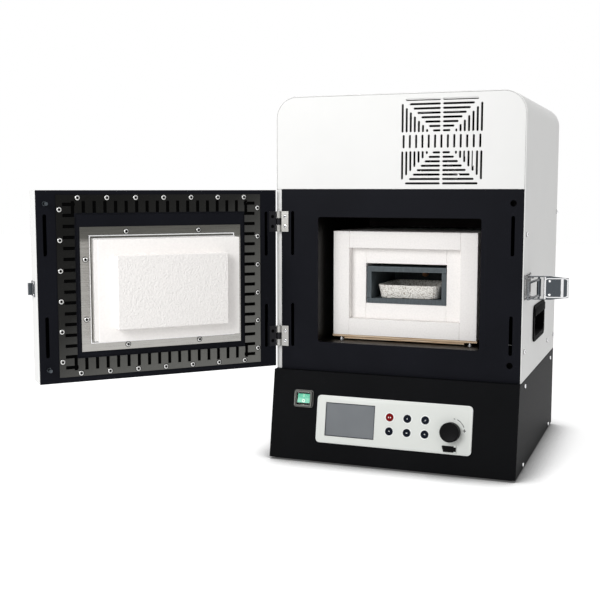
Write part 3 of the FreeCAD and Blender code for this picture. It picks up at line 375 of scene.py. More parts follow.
def layered_board(name):
    coat = Surface(name, {})
    layers = coat.noise(900.0, 3.0, stretch=(0.02, 0.02, 1.0))
    grain = coat.noise(260.0, 4.0, stretch=(0.08, 1.0, 1.0))
    tint = coat.ramp(layers, (0.35, (0.30, 0.19, 0.11)), (0.5, (0.56, 0.39, 0.24)),
                     (0.62, (0.74, 0.62, 0.46)))
    return coat.finished(tint, coat.spread(grain, 0.45, 0.7), (layers, 0.0001), (grain, 0.00005))


def screen_glass(name):
    coat = Surface(name, {"Coat Weight": 1.0, "Coat Roughness": 0.04})
    haze = coat.noise(14.0, 2.0)
    tint = coat.ramp(haze, (0.3, (0.076, 0.086, 0.098)), (0.7, (0.108, 0.120, 0.131)))
    return coat.finished(tint, coat.spread(haze, 0.28, 0.42), (coat.cells(4200.0), 0.000004))


def lit_rocker(name):
    coat = Surface(name, {"Coat Weight": 0.5, "Subsurface Weight": 0.35,
                          "Subsurface Radius": (0.001, 0.003, 0.002),
                          "Emission Color": (0.05, 0.55, 0.32, 1.0), "Emission Strength": 0.10})
    cloud = coat.noise(160.0, 3.0)
    tint = coat.ramp(cloud, (0.3, (0.06, 0.42, 0.27)), (0.7, (0.12, 0.54, 0.36)))
    return coat.finished(tint, coat.spread(cloud, 0.25, 0.4), (cloud, 0.00004))


def clear_rubber(name, clearness, colour, ior):
    coat = Surface(name, {"Transmission Weight": clearness, "IOR": ior})
    ripple = coat.noise(190.0, 3.0)
    tint = coat.shades(ripple, colour, (0.3, 0.93), (0.7, 1.0))
    return coat.finished(tint, coat.spread(ripple, 0.03, 0.12), (ripple, 0.00005))


def circuit_board(name):
    coat = Surface(name, {})
    tracks = coat.noise(420.0, 2.0, stretch=(1.0, 0.05, 1.0))
    tint = coat.ramp(tracks, (0.46, (0.015, 0.10, 0.04)), (0.54, (0.04, 0.24, 0.10)))
    return coat.finished(tint, coat.spread(tracks, 0.3, 0.45), (tracks, 0.00003))


def wound_copper(name):
    coat = Surface(name, {"Metallic": 0.6})
    turns = coat.noise(1100.0, 2.0, stretch=(0.02, 0.02, 1.0))
    tint = coat.ramp(turns, (0.35, (0.22, 0.09, 0.03)), (0.6, (0.62, 0.30, 0.12)))
    return coat.finished(tint, coat.spread(turns, 0.3, 0.5), (turns, 0.0002))


def make_finishes(look, grain):
    """One material for each slot of the record, and the extra ones for print, marks, painted shade and painted
    highlights
    """
    upright = (1.0, 1.0, 0.04)
    table = {
        "cover_white": (powder_coat, look.cover, 0.42, 0.00003, 1500.0, 0.015),
        "plate_black": (powder_coat, look.plate, 0.45, 0.00004, 1300.0, 0.15, 0.05),
        "base_black": (powder_coat, look.base, 0.5, 0.00009, 900.0, 0.15, 0.03),
        "deck_black": (powder_coat, look.base, 0.6, 0.00008, 900.0, 0.15, 0.04),
        "panel_white": (powder_coat, look.panel, 0.36, 0.00002, 1600.0, 0.015),
        # panel_rim: a lighter copy of the panel's coat, a painted highlight on the control plate's rounded rim
        "panel_rim": (powder_coat, (0.90, 0.92, 0.90), 0.3, 0.00001, 1600.0, 0.01),
        # bare_inside: near-black painted shade on the inner faces of cover, rear panel, grille panel and door
        # shell
        "bare_inside": (powder_coat, (0.010, 0.010, 0.010), 0.7, 0.00003, 1200.0, 0.1, 0.05),
        # latch_dark: near black, a painted shade on the faces of the latch base
        "latch_dark": (powder_coat, (0.010, 0.010, 0.011), 0.35, 0.00001, 1300.0, 0.1, 0.06),
        # holder_steel and comb_grey carry a painted reflection: the holder gets a dark band along its top, and the
        # comb darkens towards its top and away from the hinge
        "holder_steel": (steel_with_painted_reflection, "plug_holder", 0.26, 0.0, (0.03, 0.03, 1.0),
                         (0.0, (0.10, 0.098, 0.088)), (0.09, (0.13, 0.127, 0.115)),
                         (0.13, (0.33, 0.32, 0.30)), (1.0, (0.42, 0.41, 0.39))),
        "comb_grey": (steel_with_painted_reflection, "choke_comb", 0.42, 0.45, (1.0, 1.0, 1.0),
                      (0.12, (0.012, 0.012, 0.0115)), (0.40, (0.022, 0.022, 0.021)),
                      (0.52, (0.055, 0.055, 0.052)), (0.68, (0.105, 0.105, 0.098)),
                      (1.0, (0.155, 0.155, 0.146))),
        # liner_steel is near black: a painted shade for the dark that the cavity's steel reflects
        "liner_steel": (rolled_steel, (0.012, 0.0105, 0.0095), 0.4, (1.0, 0.02, 1.0)),
        "stainless": (rolled_steel, look.steel, 0.3, (0.02, 1.0, 1.0), 0.00002),
        "aluminium_part": (rolled_steel, (0.74, 0.74, 0.74), 0.35, (0.05, 1.0, 1.0)),
        "hinge_dark": (rolled_steel, (0.018, 0.018, 0.02), 0.3, (1.0, 1.0, 0.05)),
        # holder_wall: a lighter copy of the holder's steel, a painted highlight on its raised wall
        "holder_wall": (rolled_steel, (0.62, 0.61, 0.58), 0.5, upright),
        # steel_shade: a shaded copy of steel, darker than the metal, painted on the faces of latch, bail, keeper
        # and pins
        "steel_shade": (rolled_steel, (0.075, 0.085, 0.095), 0.24, upright),
        "screw_steel": (polished_steel, (0.52, 0.52, 0.51), 0.14),
        # steel_bright: polished steel; on the edges of the shaded latch parts, keeper and lever, on the lever's
        # trim and on the holder's rim it is a painted highlight
        "steel_bright": (polished_steel, (0.78, 0.78, 0.79), 0.09),
        "fibre_board": (fibre_board, look.board, 420.0, 0.00025, 0.03),
        "fibre_block": (fibre_board, look.board, 300.0, 0.0003, 0.02),
        # pitted_block: the board's fibre made a little darker, a painted shade on the plug's top block; its pits
        # are real bumps
        "pitted_block": (fibre_board, shade(look.board, 0.955), 400.0, 0.0011, 0.035),
        "heater_ceramic": (heater_plate, look.heater),
        # heater_edge: a lighter copy of the heater plates, a painted highlight on their rounded edges
        "heater_edge": (heater_plate, shade(look.heater, 1.7)),
        "tray_ceramic": (granular_ceramic, look.tray, grain),
        "support_mica": (layered_board,),
        "alumina": (moulded_plastic, (0.46, 0.21, 0.10), 0.6),
        # screw_recess: near black, the painted shade in screw sockets and washers, on the liner's back and under
        # the choke comb
        "screw_recess": (moulded_plastic, (0.0015, 0.0015, 0.0015), 0.7, 0.00002, 0.01),
        "rubber_black": (moulded_plastic, (0.004, 0.004, 0.004), 0.7, 0.00006, 0.05),
        "plastic_black": (moulded_plastic, (0.0045, 0.0045, 0.0048), 0.4, 0.00003, 0.05),
        "handle_black": (moulded_plastic, (0.003, 0.003, 0.003), 0.65, 0.00003, 0.02),
        "button_dark": (moulded_plastic, (0.003, 0.005, 0.012), 0.35, 0.00002, 0.06),
        "button_red": (moulded_plastic, (0.17, 0.002, 0.003), 0.35, 0.00002, 0.06),
        "print_dark": (moulded_plastic, (0.012, 0.013, 0.016), 0.5, 0.00001, 0.1),
        "print_white": (moulded_plastic, (0.84, 0.85, 0.84), 0.5, 0.00001),
        "screen_frame": (moulded_plastic, (0.012, 0.014, 0.022), 0.3, 0.00001),
        "screen_glass": (screen_glass,),
        "board_green": (circuit_board,),
        "rocker_green": (lit_rocker,),
        "clear_cover": (clear_rubber, 1.0, (0.97, 0.98, 0.96), 1.12),
        # clear_edge: a greyer, less clear copy of the boot's rubber, a painted outline on its rounded edges and
        # lip
        "clear_edge": (clear_rubber, 0.55, (0.34, 0.34, 0.32), 1.4),
        "copper_coil": (wound_copper,),
    }
    return {name: make(name, *values) for name, (make, *values) in table.items()}


# Mesh tools
def islands(node):
    """Points of each separate solid of a node, whose faces don't share vertices"""
    mesh = nodes[node].data
    lookup = {}
    parent = []

    def root(i):
        while parent[i] != i:
            parent[i] = parent[parent[i]]
            i = parent[i]
        return i

    key_of = []
    for v in mesh.vertices:
        key = tuple(round(c * 1e6) for c in v.co)
        if key not in lookup:
            lookup[key] = len(parent)
            parent.append(len(parent))
        key_of.append(lookup[key])
    for p in mesh.polygons:
        first = root(key_of[p.vertices[0]])
        for i in p.vertices[1:]:
            parent[root(key_of[i])] = first
    groups = {}
    for v, key in zip(mesh.vertices, key_of):
        groups.setdefault(root(key), []).append(v.co)
    return [groups[k] for k in sorted(groups)]


def add_piece(name, bm, body, material_name, smooth_deg=38.0, outward=True):
    """Makes a piece of the bmesh, its normals turned outward unless they are right as they are"""
    mesh = bpy.data.meshes.new(name)
    if outward:
        bmesh.ops.recalc_face_normals(bm, faces=bm.faces)
    bm.to_mesh(mesh)
    bm.free()
    piece = bpy.data.objects.new(name, mesh)
    bpy.context.scene.collection.objects.link(piece)
    for p in mesh.polygons:
        p.use_smooth = True
    mesh.set_sharp_from_angle(angle=math.radians(smooth_deg))
    mesh.materials.append(FINISHES[material_name])
    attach(piece, body)
    return piece


def add_bevel(piece, width, segments):
    rounding = piece.modifiers.new("edge", "BEVEL")
    rounding.width = width
    rounding.segments = segments
    rounding.limit_method = "ANGLE"
    rounding.angle_limit = math.radians(28)
    rounding.harden_normals = True
    rounding.use_clamp_overlap = True
    return rounding


def node_bmesh(node):
    bm = bmesh.new()
    bm.from_mesh(nodes[node].data)
    bmesh.ops.remove_doubles(bm, verts=bm.verts, dist=2e-6)
    bmesh.ops.dissolve_limit(bm, angle_limit=math.radians(0.6), verts=bm.verts, edges=bm.edges)
    return bm


def curve_bmesh(curve):
    """The surface of a curve or a text, which is used up"""
    holder = bpy.data.objects.new("line", curve)
    bpy.context.scene.collection.objects.link(holder)
    bpy.context.view_layer.update()
    mesh = bpy.data.meshes.new_from_object(holder.evaluated_get(bpy.context.evaluated_depsgraph_get()))
    bm = bmesh.new()
    bm.from_mesh(mesh)
    bpy.data.objects.remove(holder)
    bpy.data.curves.remove(curve)
    bpy.data.meshes.remove(mesh)
    bmesh.ops.remove_doubles(bm, verts=bm.verts, dist=1e-7)
    return bm


def second_finish(piece, material_name, chosen):
    """Gives the faces that chosen(centre, normal) picks another finish"""
    piece.data.materials.append(FINISHES[material_name])
    index = len(piece.data.materials) - 1
    for p in piece.data.polygons:
        if chosen(p.center, p.normal):
            p.material_index = index


def dress(node, width, segments=2, edge_finish=None, face_finish=None):
    """A copy of a solid with rounded edges, which stands for it"""
    piece = add_piece(node + "_skin", node_bmesh(node), BODY_OF[node], SLOT_OF[node])
    rounding = add_bevel(piece, width, segments)
    if face_finish:
        piece.data.materials[0] = FINISHES[face_finish]
    if edge_finish:
        piece.data.materials.append(FINISHES[edge_finish])
        rounding.material = 1
    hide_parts(node)
    return piece


def lathe(bm, profile, turns, place):
    """Spins (radius, height) points about the local z axis; a third value is how deep ribs cut that ring"""
    rib_steps = 4
    rings = []
    for radius, height, *ribs in profile:
        if radius < 1e-9:
            rings.append([bm.verts.new(place @ Vector((0, 0, height)))])
            continue
        dip = ribs[0] if ribs else 0.0
        ring = []
        for i in range(turns):
            a = 2 * math.pi * i / turns
            r = radius + (dip if i % rib_steps < rib_steps / 2 else -dip)
            ring.append(bm.verts.new(place @ Vector((r * math.cos(a), r * math.sin(a), height))))
        rings.append(ring)
    for low, high in zip(rings, rings[1:]):
        for i in range(turns):
            j = (i + 1) % turns
            corners = [low[i % len(low)], low[j % len(low)], high[j % len(high)], high[i % len(high)]]
            unique = list(dict.fromkeys(corners))
            if len(unique) > 2:
                bm.faces.new(unique)
    return rings


def rounded_box(bm, low, high, r, segments):
    """A box with all edges rounded by r"""
    low, high = Vector(low), Vector(high)
    verts = bmesh.ops.create_cube(bm, size=1.0)["verts"]
    grown = Matrix.Translation((high + low) / 2) @ Matrix.Diagonal((*(high - low), 1))
    bmesh.ops.transform(bm, matrix=grown, verts=verts)
    edges = list({e for v in verts for e in v.link_edges})
    bmesh.ops.bevel(bm, geom=edges, offset=r, segments=segments, profile=0.5, affect="EDGES")


def frame_strip(bm, place, low, high, wide, foot, top, r=0.0):
    """A closed strip round a rectangle, wide across, from foot to top, its corners rounded by r"""
    steps = 6 if r else 0
    rings = []
    for inset, level in ((0, foot), (0, top), (wide, top), (wide, foot)):
        bend = max(r - inset, 0.0)
        ring = []
        for right, upper, start in ((1, 1, 0), (0, 1, 90), (0, 0, 180), (1, 0, 270)):
            a = high[0] - inset - bend if right else low[0] + inset + bend
            b = high[1] - inset - bend if upper else low[1] + inset + bend
            for k in range(steps + 1):
                turn = math.radians(start + (90 * k / steps if steps else 0))
                ring.append(bm.verts.new(place(a + bend * math.cos(turn), level, b + bend * math.sin(turn))))
        rings.append(ring)
    for k in range(4):
        near, far = rings[k], rings[(k + 1) % 4]
        for i in range(len(near)):
            j = (i + 1) % len(near)
            bm.faces.new((near[i], near[j], far[j], far[i]))


def socket_screw(bm, place, radius, height, all_painted_shade):
    """A domed head on its washer with a six-sided socket, seated at the local origin; washer and socket are
    painted dark as shadow and shade
    """
    turns = 24
    socket = radius * 0.5
    before = set(bm.faces)
    # painted shadow: the washer round the foot of the head is dark
    washer = [(0, 0.0), (radius, 0.0), (radius, height * 0.16), (radius * 0.8, height * 0.2),
              (0, height * 0.2)]
    lathe(bm, washer, turns, place)
    dark = [f for f in bm.faces if f not in before]
    dome = [(radius * 0.86, height * 0.16), (radius * 0.86, height * 0.45), (radius * 0.8, height * 0.72),
            (radius * 0.68, height * 0.9), (radius * 0.56, height), (socket * 1.12, height)]
    rings = lathe(bm, dome, turns, place)
    hexagon = []
    for i in range(turns):
        a = 2 * math.pi * i / turns
        side = (a + math.pi / 6) % (math.pi / 3) - math.pi / 6
        r = socket * math.cos(math.pi / 6) / math.cos(side)
        hexagon.append((r * math.cos(a), r * math.sin(a)))
    rim = [bm.verts.new(place @ Vector((x, y, height))) for x, y in hexagon]
    foot = [bm.verts.new(place @ Vector((x, y, height * 0.35))) for x, y in hexagon]
    # painted shade: the socket's walls and floor are dark
    for i in range(turns):
        j = (i + 1) % turns
        bm.faces.new((rings[-1][i], rings[-1][j], rim[j], rim[i]))
        dark.append(bm.faces.new((rim[i], rim[j], foot[j], foot[i])))
    dark.append(bm.faces.new(foot))
    bm.faces.new(list(reversed(rings[0])))
    # painted shade: where asked, the whole head is dark
    if all_painted_shade:
        dark = set(bm.faces) - before
    for f in dark:
        f.material_index = 1


# Printed marks: thin raised shapes on a local plane
def flat_mark(bm, place, outline, thick=PRINT):
    low = [bm.verts.new(place @ Vector((x, y, 0))) for x, y in outline]
    high = [bm.verts.new(place @ Vector((x, y, thick))) for x, y in outline]
    bm.faces.new(high)
    bm.faces.new(list(reversed(low)))
    for i in range(len(outline)):
        j = (i + 1) % len(outline)
        bm.faces.new((low[i], low[j], high[j], high[i]))


def bar(x, y, w, h):
    return [(x - w / 2, y - h / 2), (x + w / 2, y - h / 2), (x + w / 2, y + h / 2), (x - w / 2, y + h / 2)]


def arc_band(bm, place, radius, wide, start_deg, end_deg, steps):
    for i in range(steps):
        a, b = (math.radians(start_deg + (end_deg - start_deg) * k / steps) for k in (i, i + 1))
        inner = radius - wide / 2
        outer = radius + wide / 2
        corners = ((inner, a), (outer, a), (outer, b), (inner, b))
        flat_mark(bm, place, [(r * math.cos(turn), r * math.sin(turn)) for r, turn in corners])


def numeral(name, text, place, height, body):
    letter = bpy.data.curves.new(name, "FONT")
    letter.body = text
    letter.size = height * 1.4
    letter.extrude = 0.03 * MM
    letter.align_x = "CENTER"
    letter.align_y = "CENTER"
    letter.resolution_u = 4
    bm = curve_bmesh(letter)
    bmesh.ops.transform(bm, matrix=place, verts=bm.verts)
    add_piece(name, bm, body, "print_white")


# Case
def wall_loops(node):
    """Corner points of each closed wall that runs along y through a flat panel, the outline first"""
    bm = node_bmesh(node)
    seen = set()
    loops = []
    for first in bm.faces:
        if first in seen or abs(first.normal.y) >= 0.5:
            continue
        group = [first]
        seen.add(first)
        for f in group:
            for other in (o for e in f.edges for o in e.link_faces):
                if other not in seen and abs(other.normal.y) < 0.5:
                    seen.add(other)
                    group.append(other)
        loops.append([v.co.copy() for f in group for v in f.verts])
    bm.free()
    loops.sort(key=lambda points: -(max(p.x for p in points) - min(p.x for p in points)))
    return loops


def make_grille_panel():
    """The top front panel again, its slots with round ends"""
    outline, *slots = wall_loops("grille_panel")
    low, high = low_high("grille_panel")
    centre = (low + high) / 2
    soft = 0.2 * MM
    arc_steps = 4
    curve = bpy.data.curves.new("grille_line", "CURVE")
    curve.dimensions = "2D"
    curve.fill_mode = "BOTH"
    curve.extrude = (high.y - low.y) / 2 - soft
    curve.bevel_depth = soft
    curve.bevel_resolution = 1
    curve.offset = -soft

    def spline(points):
        line = curve.splines.new("POLY")
        line.points.add(len(points) - 1)
        for point, (x, y) in zip(line.points, points):
            point.co = (x, y, 0, 1)
        line.use_cyclic_u = True

    corners = {(round(p.x, 6), round(p.z, 6)) for p in outline}
    spline(sorted(corners, key=lambda c: math.atan2(c[1] - centre.z, c[0] - centre.x)))
    for points in slots:
        (x0, _, z0), (x1, _, z1) = extent(points)
        r = min(x1 - x0, z1 - z0) / 2
        ends = ((x1 - r, z1 - r, 0), (x0 + r, z1 - r, 90), (x0 + r, z0 + r, 180), (x1 - r, z0 + r, 270))
        turns = [(x, z, math.radians(start + 90 * k / arc_steps)) for x, z, start in ends
                 for k in range(arc_steps + 1)]
        spline([(x + r * math.cos(turn), z + r * math.sin(turn)) for x, z, turn in turns])
    bm = curve_bmesh(curve)
    stand_up = Matrix.Translation((0, centre.y, 0)) @ Matrix.Rotation(math.pi / 2, 4, "X")
    bmesh.ops.transform(bm, matrix=stand_up, verts=bm.verts)
    panel = add_piece("grille_panel_skin", bm, "cabinet", "cover_white", 30)
    for p in panel.data.polygons:
        p.use_smooth = abs(p.normal.y) < 0.99
    # painted shade: the grille panel's back faces are near black
    second_finish(panel, "bare_inside", lambda point, normal: normal.y > 0.99)
    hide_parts("grille_panel")


class FURNACE_OT_case(bpy.types.Operator):
    """Cover, front plates, base and rear panel with softened sheet edges"""
    bl_idname = "furnace.case"
    bl_label = "Case"

    def execute(self, context):
        edge = context.scene.furnace_sizes.edge
        for node in ("front_plate", "base_tray", "base_front", "base_deck"):
            dress(node, edge)
        cover = dress("cover", edge)
        centre = middle("cover")
        faces_in = 20 * MM
        # painted shade: the cover's inner faces are near black
        second_finish(cover, "bare_inside",
                      lambda point, normal: abs(normal.y) < 0.5 and normal.dot(centre - point) > faces_in)
        rear = dress("rear_panel", edge)
        # painted shade: the rear panel's inner faces are near black
        second_finish(rear, "bare_inside", lambda point, normal: normal.y < -0.9)
        dress("foot_strip", 2 * edge)
        make_grille_panel()
        return {"FINISHED"}


# Fasteners
def screw_heads(node, body, out_of, in_painted_shade=lambda centre: False):
    """Every head of a node; those whose place in_painted_shade picks are painted dark all over as shade"""
    bm = bmesh.new()
    for points in islands(node):
        centre = sum(points, Vector()) / len(points)
        out = out_of(centre)
        levels = [p.dot(out) for p in points]
        seat = centre + out * (min(levels) - centre.dot(out))
        radius = max(((p - centre) - out * (p - centre).dot(out)).length for p in points)
        socket_screw(bm, facing(seat, out), radius, max(levels) - min(levels), in_painted_shade(centre))
    piece = add_piece(node + "_heads", bm, body, SLOT_OF[node], 40)
    piece.data.materials.append(FINISHES["screw_recess"])
    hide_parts(node)


class FURNACE_OT_fasteners(bpy.types.Operator):
    """Button head screws of case, hinges and door"""
    bl_idname = "furnace.fasteners"
    bl_label = "Fasteners"

    def execute(self, context):
        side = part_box("cover")[1][0] - 0.1 * MM
        hinge_strip = 20 * MM

        def case_side(point):
            if abs(point.x) > side:
                return Vector((math.copysign(1, point.x), 0, 0))
            return Vector((0, -1, 0))

        screw_heads("case_screws", "cabinet", case_side)
        # painted shade: door screws on the strip by the hinge are dark all over
        screw_heads("door_screws", "door", lambda point: door.inward,
                    lambda point: door.read(point).x < hinge_strip)
        return {"FINISHED"}


# Cavity
def make_tray(grain):
    """The crucible tray as a dish of coarse grains"""
    bm = node_bmesh("tray")
    bmesh.ops.triangulate(bm, faces=bm.faces)
    rounds = 7
    longest = grain * 1.6
    for _ in range(rounds):
        edges = [e for e in bm.edges if e.calc_length() > longest]
        if not edges:
            break
        bmesh.ops.subdivide_edges(bm, edges=edges, cuts=1)
        bmesh.ops.triangulate(bm, faces=[f for f in bm.faces if len(f.verts) > 3])
    bm.normal_update()
    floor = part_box("tray")[0][2]
    coarse = grain * 1.3
    fine = grain * 0.6
    for v in bm.verts:
        lump = noise.noise(v.co / coarse) + 0.6 * noise.noise(v.co / fine)
        v.co += v.normal * (min(0.0, lump - 0.25) * grain * 0.32)
    for v in bm.verts:
        v.co.z = max(v.co.z, floor)
    piece = add_piece("tray_grains", bm, BODY_OF["tray"], "tray_ceramic", 180)
    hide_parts("tray")


def make_support_layer():
    """The lower mica sheet under the support plate, between its feet"""
    low, high = low_high("support_plate")
    side, front, back = 19.0 * MM, 0.8 * MM, 2 * MM
    gap = 0.3 * MM
    thick = 2.6 * MM
    rounding = 0.25 * MM
    bm = bmesh.new()
    rounded_box(bm, (low.x + side, low.y + front, low.z - gap - thick),
                (high.x - side, high.y - back, low.z - gap), rounding, 2)
    add_piece("support_layer", bm, "cabinet", "support_mica", 30)


def make_support_feet():
    """The screw feet under the support plate: a plain head and four threads"""
    threads = 4
    head = 0.3
    bm = bmesh.new()
    for points in islands("support_feet"):
        centre = sum(points, Vector()) / len(points)
        low = min(p.z for p in points)
        height = max(p.z for p in points) - low
        radius = max((p - centre).xy.length for p in points)
        step = height * (1 - head) / threads
        profile = [(0, 0), (radius, 0), (radius, height * head)]
        for k in range(threads):
            base = height * head + k * step
            profile += [(radius * 0.72, base + step * 0.1), (radius * 0.82, base + step * 0.5)]
        profile += [(radius * 0.72, height), (0, height)]
        lathe(bm, profile, 24, Matrix.Translation((centre.x, centre.y, low)))
    feet = add_piece("support_feet_skin", bm, "cabinet", "steel_bright", 30)
    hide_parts("support_feet")


def make_thermocouple_tube():
    """The round-ended tube that guards the thermocouple's tip in the heating box"""
    low, high = low_high("thermocouple")
    straight = 20 * MM
    r = 4.3 * MM
    covered = 24 * MM
    foot = (high.y - low.y) / 2 - covered
    place = facing((low + high) / 2, (0, -1, 0)) @ Matrix.Translation((0, 0, foot))
    turns = [math.radians(a) for a in range(0, 90, 15)]
    bend = [(r * math.cos(turn), straight + r * math.sin(turn)) for turn in turns]
    bm = bmesh.new()
    lathe(bm, [(0, 0), (r, 0), *bend, (0, straight + r)], 28, place)
    add_piece("thermocouple_tube", bm, "cabinet", "alumina", 40)


class FURNACE_OT_cavity(bpy.types.Operator):
    """Liner, fibre boards, heating box, support plate and tray"""
    bl_idname = "furnace.cavity"
    bl_label = "Cavity"

    def execute(self, context):
        sizes = context.scene.furnace_sizes
        liner = dress("cavity_liner", sizes.edge)
        core = middle("cavity_liner")
        faces_out = 30 * MM
        # painted shade: the liner's outer faces are near black
        second_finish(liner, "screw_recess",
                      lambda point, normal: normal.y > -0.5 and normal.dot(point - core) > faces_out)
        for node in ("outer_side_boards", "outer_cross_boards", "back_boards", "inner_side_boards",
                     "inner_cross_boards"):
            dress(node, sizes.board_edge, 3)
        # painted highlight: the heating box's rounded edges are lighter
        dress("heating_box", sizes.board_edge, 2, "heater_edge")
        dress("support_plate", sizes.edge * 0.6)
        make_support_layer()
        make_tray(sizes.grain)
        make_support_feet()
        return {"FINISHED"}


# Controls
def plate_face():
    """How far the control plate's face stands out of the slope, read at its upper edge"""
    corners = spots("control_plate", slope.read)
    band = 1.5 * MM
    top_edge = max(h for _, h, _ in corners)
    return max(out for _, h, out in corners if h > top_edge - band)


def make_button(number, mark, rings):
    """A dished cap with its mark, and the ring printed round it"""
    node = "button_%d" % number
    x, h, _ = slope.read(middle(node))
    corners = spots(node, slope.read)
    radius = max(math.hypot(vx - x, vh - h) for vx, vh, out in corners if out > 0)
    top = max(out for _, _, out in corners)
    bottom = min(out for _, _, out in corners)
    stem = radius * 0.36
    collar = radius * 1.2
    collar_low, collar_high = -1.8 * MM, -0.3 * MM
    profile = [(0, bottom), (stem, bottom), (stem, collar_low), (collar, collar_low),
               (collar, collar_high), (radius, collar_high), (radius, top - 0.6 * MM),
               (radius * 0.97, top - 0.25 * MM), (radius * 0.9, top - 0.05 * MM), (radius * 0.8, top),
               (radius * 0.4, top - 0.12 * MM), (0, top - 0.16 * MM)]
    bm = bmesh.new()
    lathe(bm, profile, 40, slope.frame(x, h))
    cap = add_piece(node + "_cap", bm, node, SLOT_OF[node], 34)
    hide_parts(node)
    place = slope.frame(x, h, top - 0.17 * MM)
    if mark:
        numeral(node + "_mark", mark, place, radius * 1.1, node)
    else:
        dot = radius * 0.3
        bm = bmesh.new()
        for a in (-1, 1):
            flat_mark(bm, place, bar(a * dot, 0, dot, dot))
        add_piece(node + "_mark", bm, node, "print_white")
    ring_wide = radius * 0.2
    arc_band(rings, slope.frame(x, h, plate_face() - SUNK), radius * 1.2, ring_wide, 0, 360, 40)


def make_knob(ribs):
    """The ribbed knob with its dished face; gives its middle and its radius"""
    verts = spots("knob", slope.read)
    x = sum(v[0] for v in verts) / len(verts)
    h = sum(v[1] for v in verts) / len(verts)
    reach = [(math.hypot(v[0] - x, v[1] - h), v[2]) for v in verts]
    radius = max(r for r, _ in reach)
    top = max(out for _, out in reach)
    foot = min(out for r, out in reach if r > radius * 0.9)
    spindle = min(out for _, out in reach)
    spindle_r = max(r for r, out in reach if out < foot - 0.5 * MM)
    side = radius * 0.985
    dip = radius * 0.014
    profile = [(0, spindle), (spindle_r, spindle), (spindle_r, foot), (radius * 0.97, foot),
               (side, foot + 0.5 * MM), (side, foot + 1.0 * MM, dip), (side, top - 1.6 * MM, dip),
               (side, top - 1.3 * MM), (radius * 0.96, top - 0.5 * MM), (radius * 0.92, top - 0.1 * MM),
               (radius * 0.88, top), (radius * 0.84, top - 0.15 * MM), (radius * 0.6, top - 0.75 * MM),
               (radius * 0.3, top - 1.15 * MM), (0, top - 1.25 * MM)]
    bm = bmesh.new()
    lathe(bm, profile, ribs * 4, slope.frame(x, h))
    piece = add_piece("knob_turned", bm, "knob", "plastic_black", 25)
    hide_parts("knob")
    return x, h, radius


def make_scale(x, h, radius):
    """The thin arc with its small and its large mark round the knob"""
    place = slope.frame(x, h, plate_face() - SUNK)
    line = 0.85 * MM
    start_deg, end_deg = 23, 66
    bm = bmesh.new()
    arc_band(bm, place, radius * 1.40, line, start_deg, end_deg, 16)
    small_deg, large_deg = 78, 9
    reach = radius * 1.36
    small, large = ((reach * math.cos(turn), reach * math.sin(turn))
                    for turn in (math.radians(small_deg), math.radians(large_deg)))
    flat_mark(bm, place, bar(*small, 2.2 * MM, 1.0 * MM))
    stroke = 1.1 * MM
    arm = 1.75 * MM
    across = 4.6 * MM
    flat_mark(bm, place, bar(*large, across, stroke))
    for a in (-1, 1):
        flat_mark(bm, place, bar(large[0], large[1] + a * (stroke + arm) / 2, stroke, arm))
    add_piece("knob_scale", bm, "cabinet", "print_dark")


def make_screen():
    """A thin dark frame round the display's picture area"""
    glass = spots("display", slope.read)
    top = max(v[2] for v in glass)
    (x0, h0, _), (x1, h1, _) = extent([v for v in glass if v[2] > top - 0.1 * MM])
    wide = 1.1 * MM
    half = wide / 2
    thick = 0.12 * MM
    place = slope.frame(0, 0, top - 0.01 * MM)
    bm = bmesh.new()
    for h in (h1 - half, h0 + half):
        flat_mark(bm, place, bar((x0 + x1) / 2, h, x1 - x0, wide), thick)
    for x in (x0 + half, x1 - half):
        flat_mark(bm, place, bar(x, (h0 + h1) / 2, wide, h1 - h0 - 2 * wide), thick)
    add_piece("screen_frame", bm, "cabinet", "screen_frame")


class FURNACE_OT_controls(bpy.types.Operator):
    """Control plate with screen, buttons, knob and port cover"""
    bl_idname = "furnace.controls"
    bl_label = "Controls"

    def execute(self, context):
        sizes = context.scene.furnace_sizes
        plate = dress("control_plate", sizes.edge)
        # painted highlight: the control plate's rounded rim faces are lighter
        second_finish(plate, "panel_rim", lambda point, normal: 0.2 < normal.dot(slope.out) < 0.97)
        dress("usb_flap", sizes.edge)
        rings = bmesh.new()
        for number, mark in enumerate(("", "1", "2", "3", "4", "5"), 1):
            make_button(number, mark, rings)
        add_piece("button_rings", rings, "cabinet", "print_white")
        x, h, radius = make_knob(sizes.knob_ribs)
        make_scale(x, h, radius)
        make_screen()
        return {"FINISHED"}


# Mains switch
def make_rocker():
    """The rocker with I and O on its two wings"""
    tipped_deg = -8
    rise, run = 0.9, 6.9
    along = 3.9 * MM
    level = 2.98 * MM
    mark_height = 4.4 * MM
    dress("rocker", 0.5 * MM, 3)
    low, high = low_high("rocker")
    _, h, out = slope.read(Vector(JOINTS["rocker_tip"]["pos_m"]))
    tilt = slope.frame((low.x + high.x) / 2, h, out) @ Matrix.Rotation(math.radians(tipped_deg), 4, "X")
    for a, mark in ((1, "I"), (-1, "O")):
        wing = Matrix.Rotation(a * math.atan(rise / run), 4, "X")
        place = tilt @ Matrix.Translation((0, a * along, level)) @ wing
        numeral("rocker_mark_" + mark, mark, place, mark_height, "rocker")


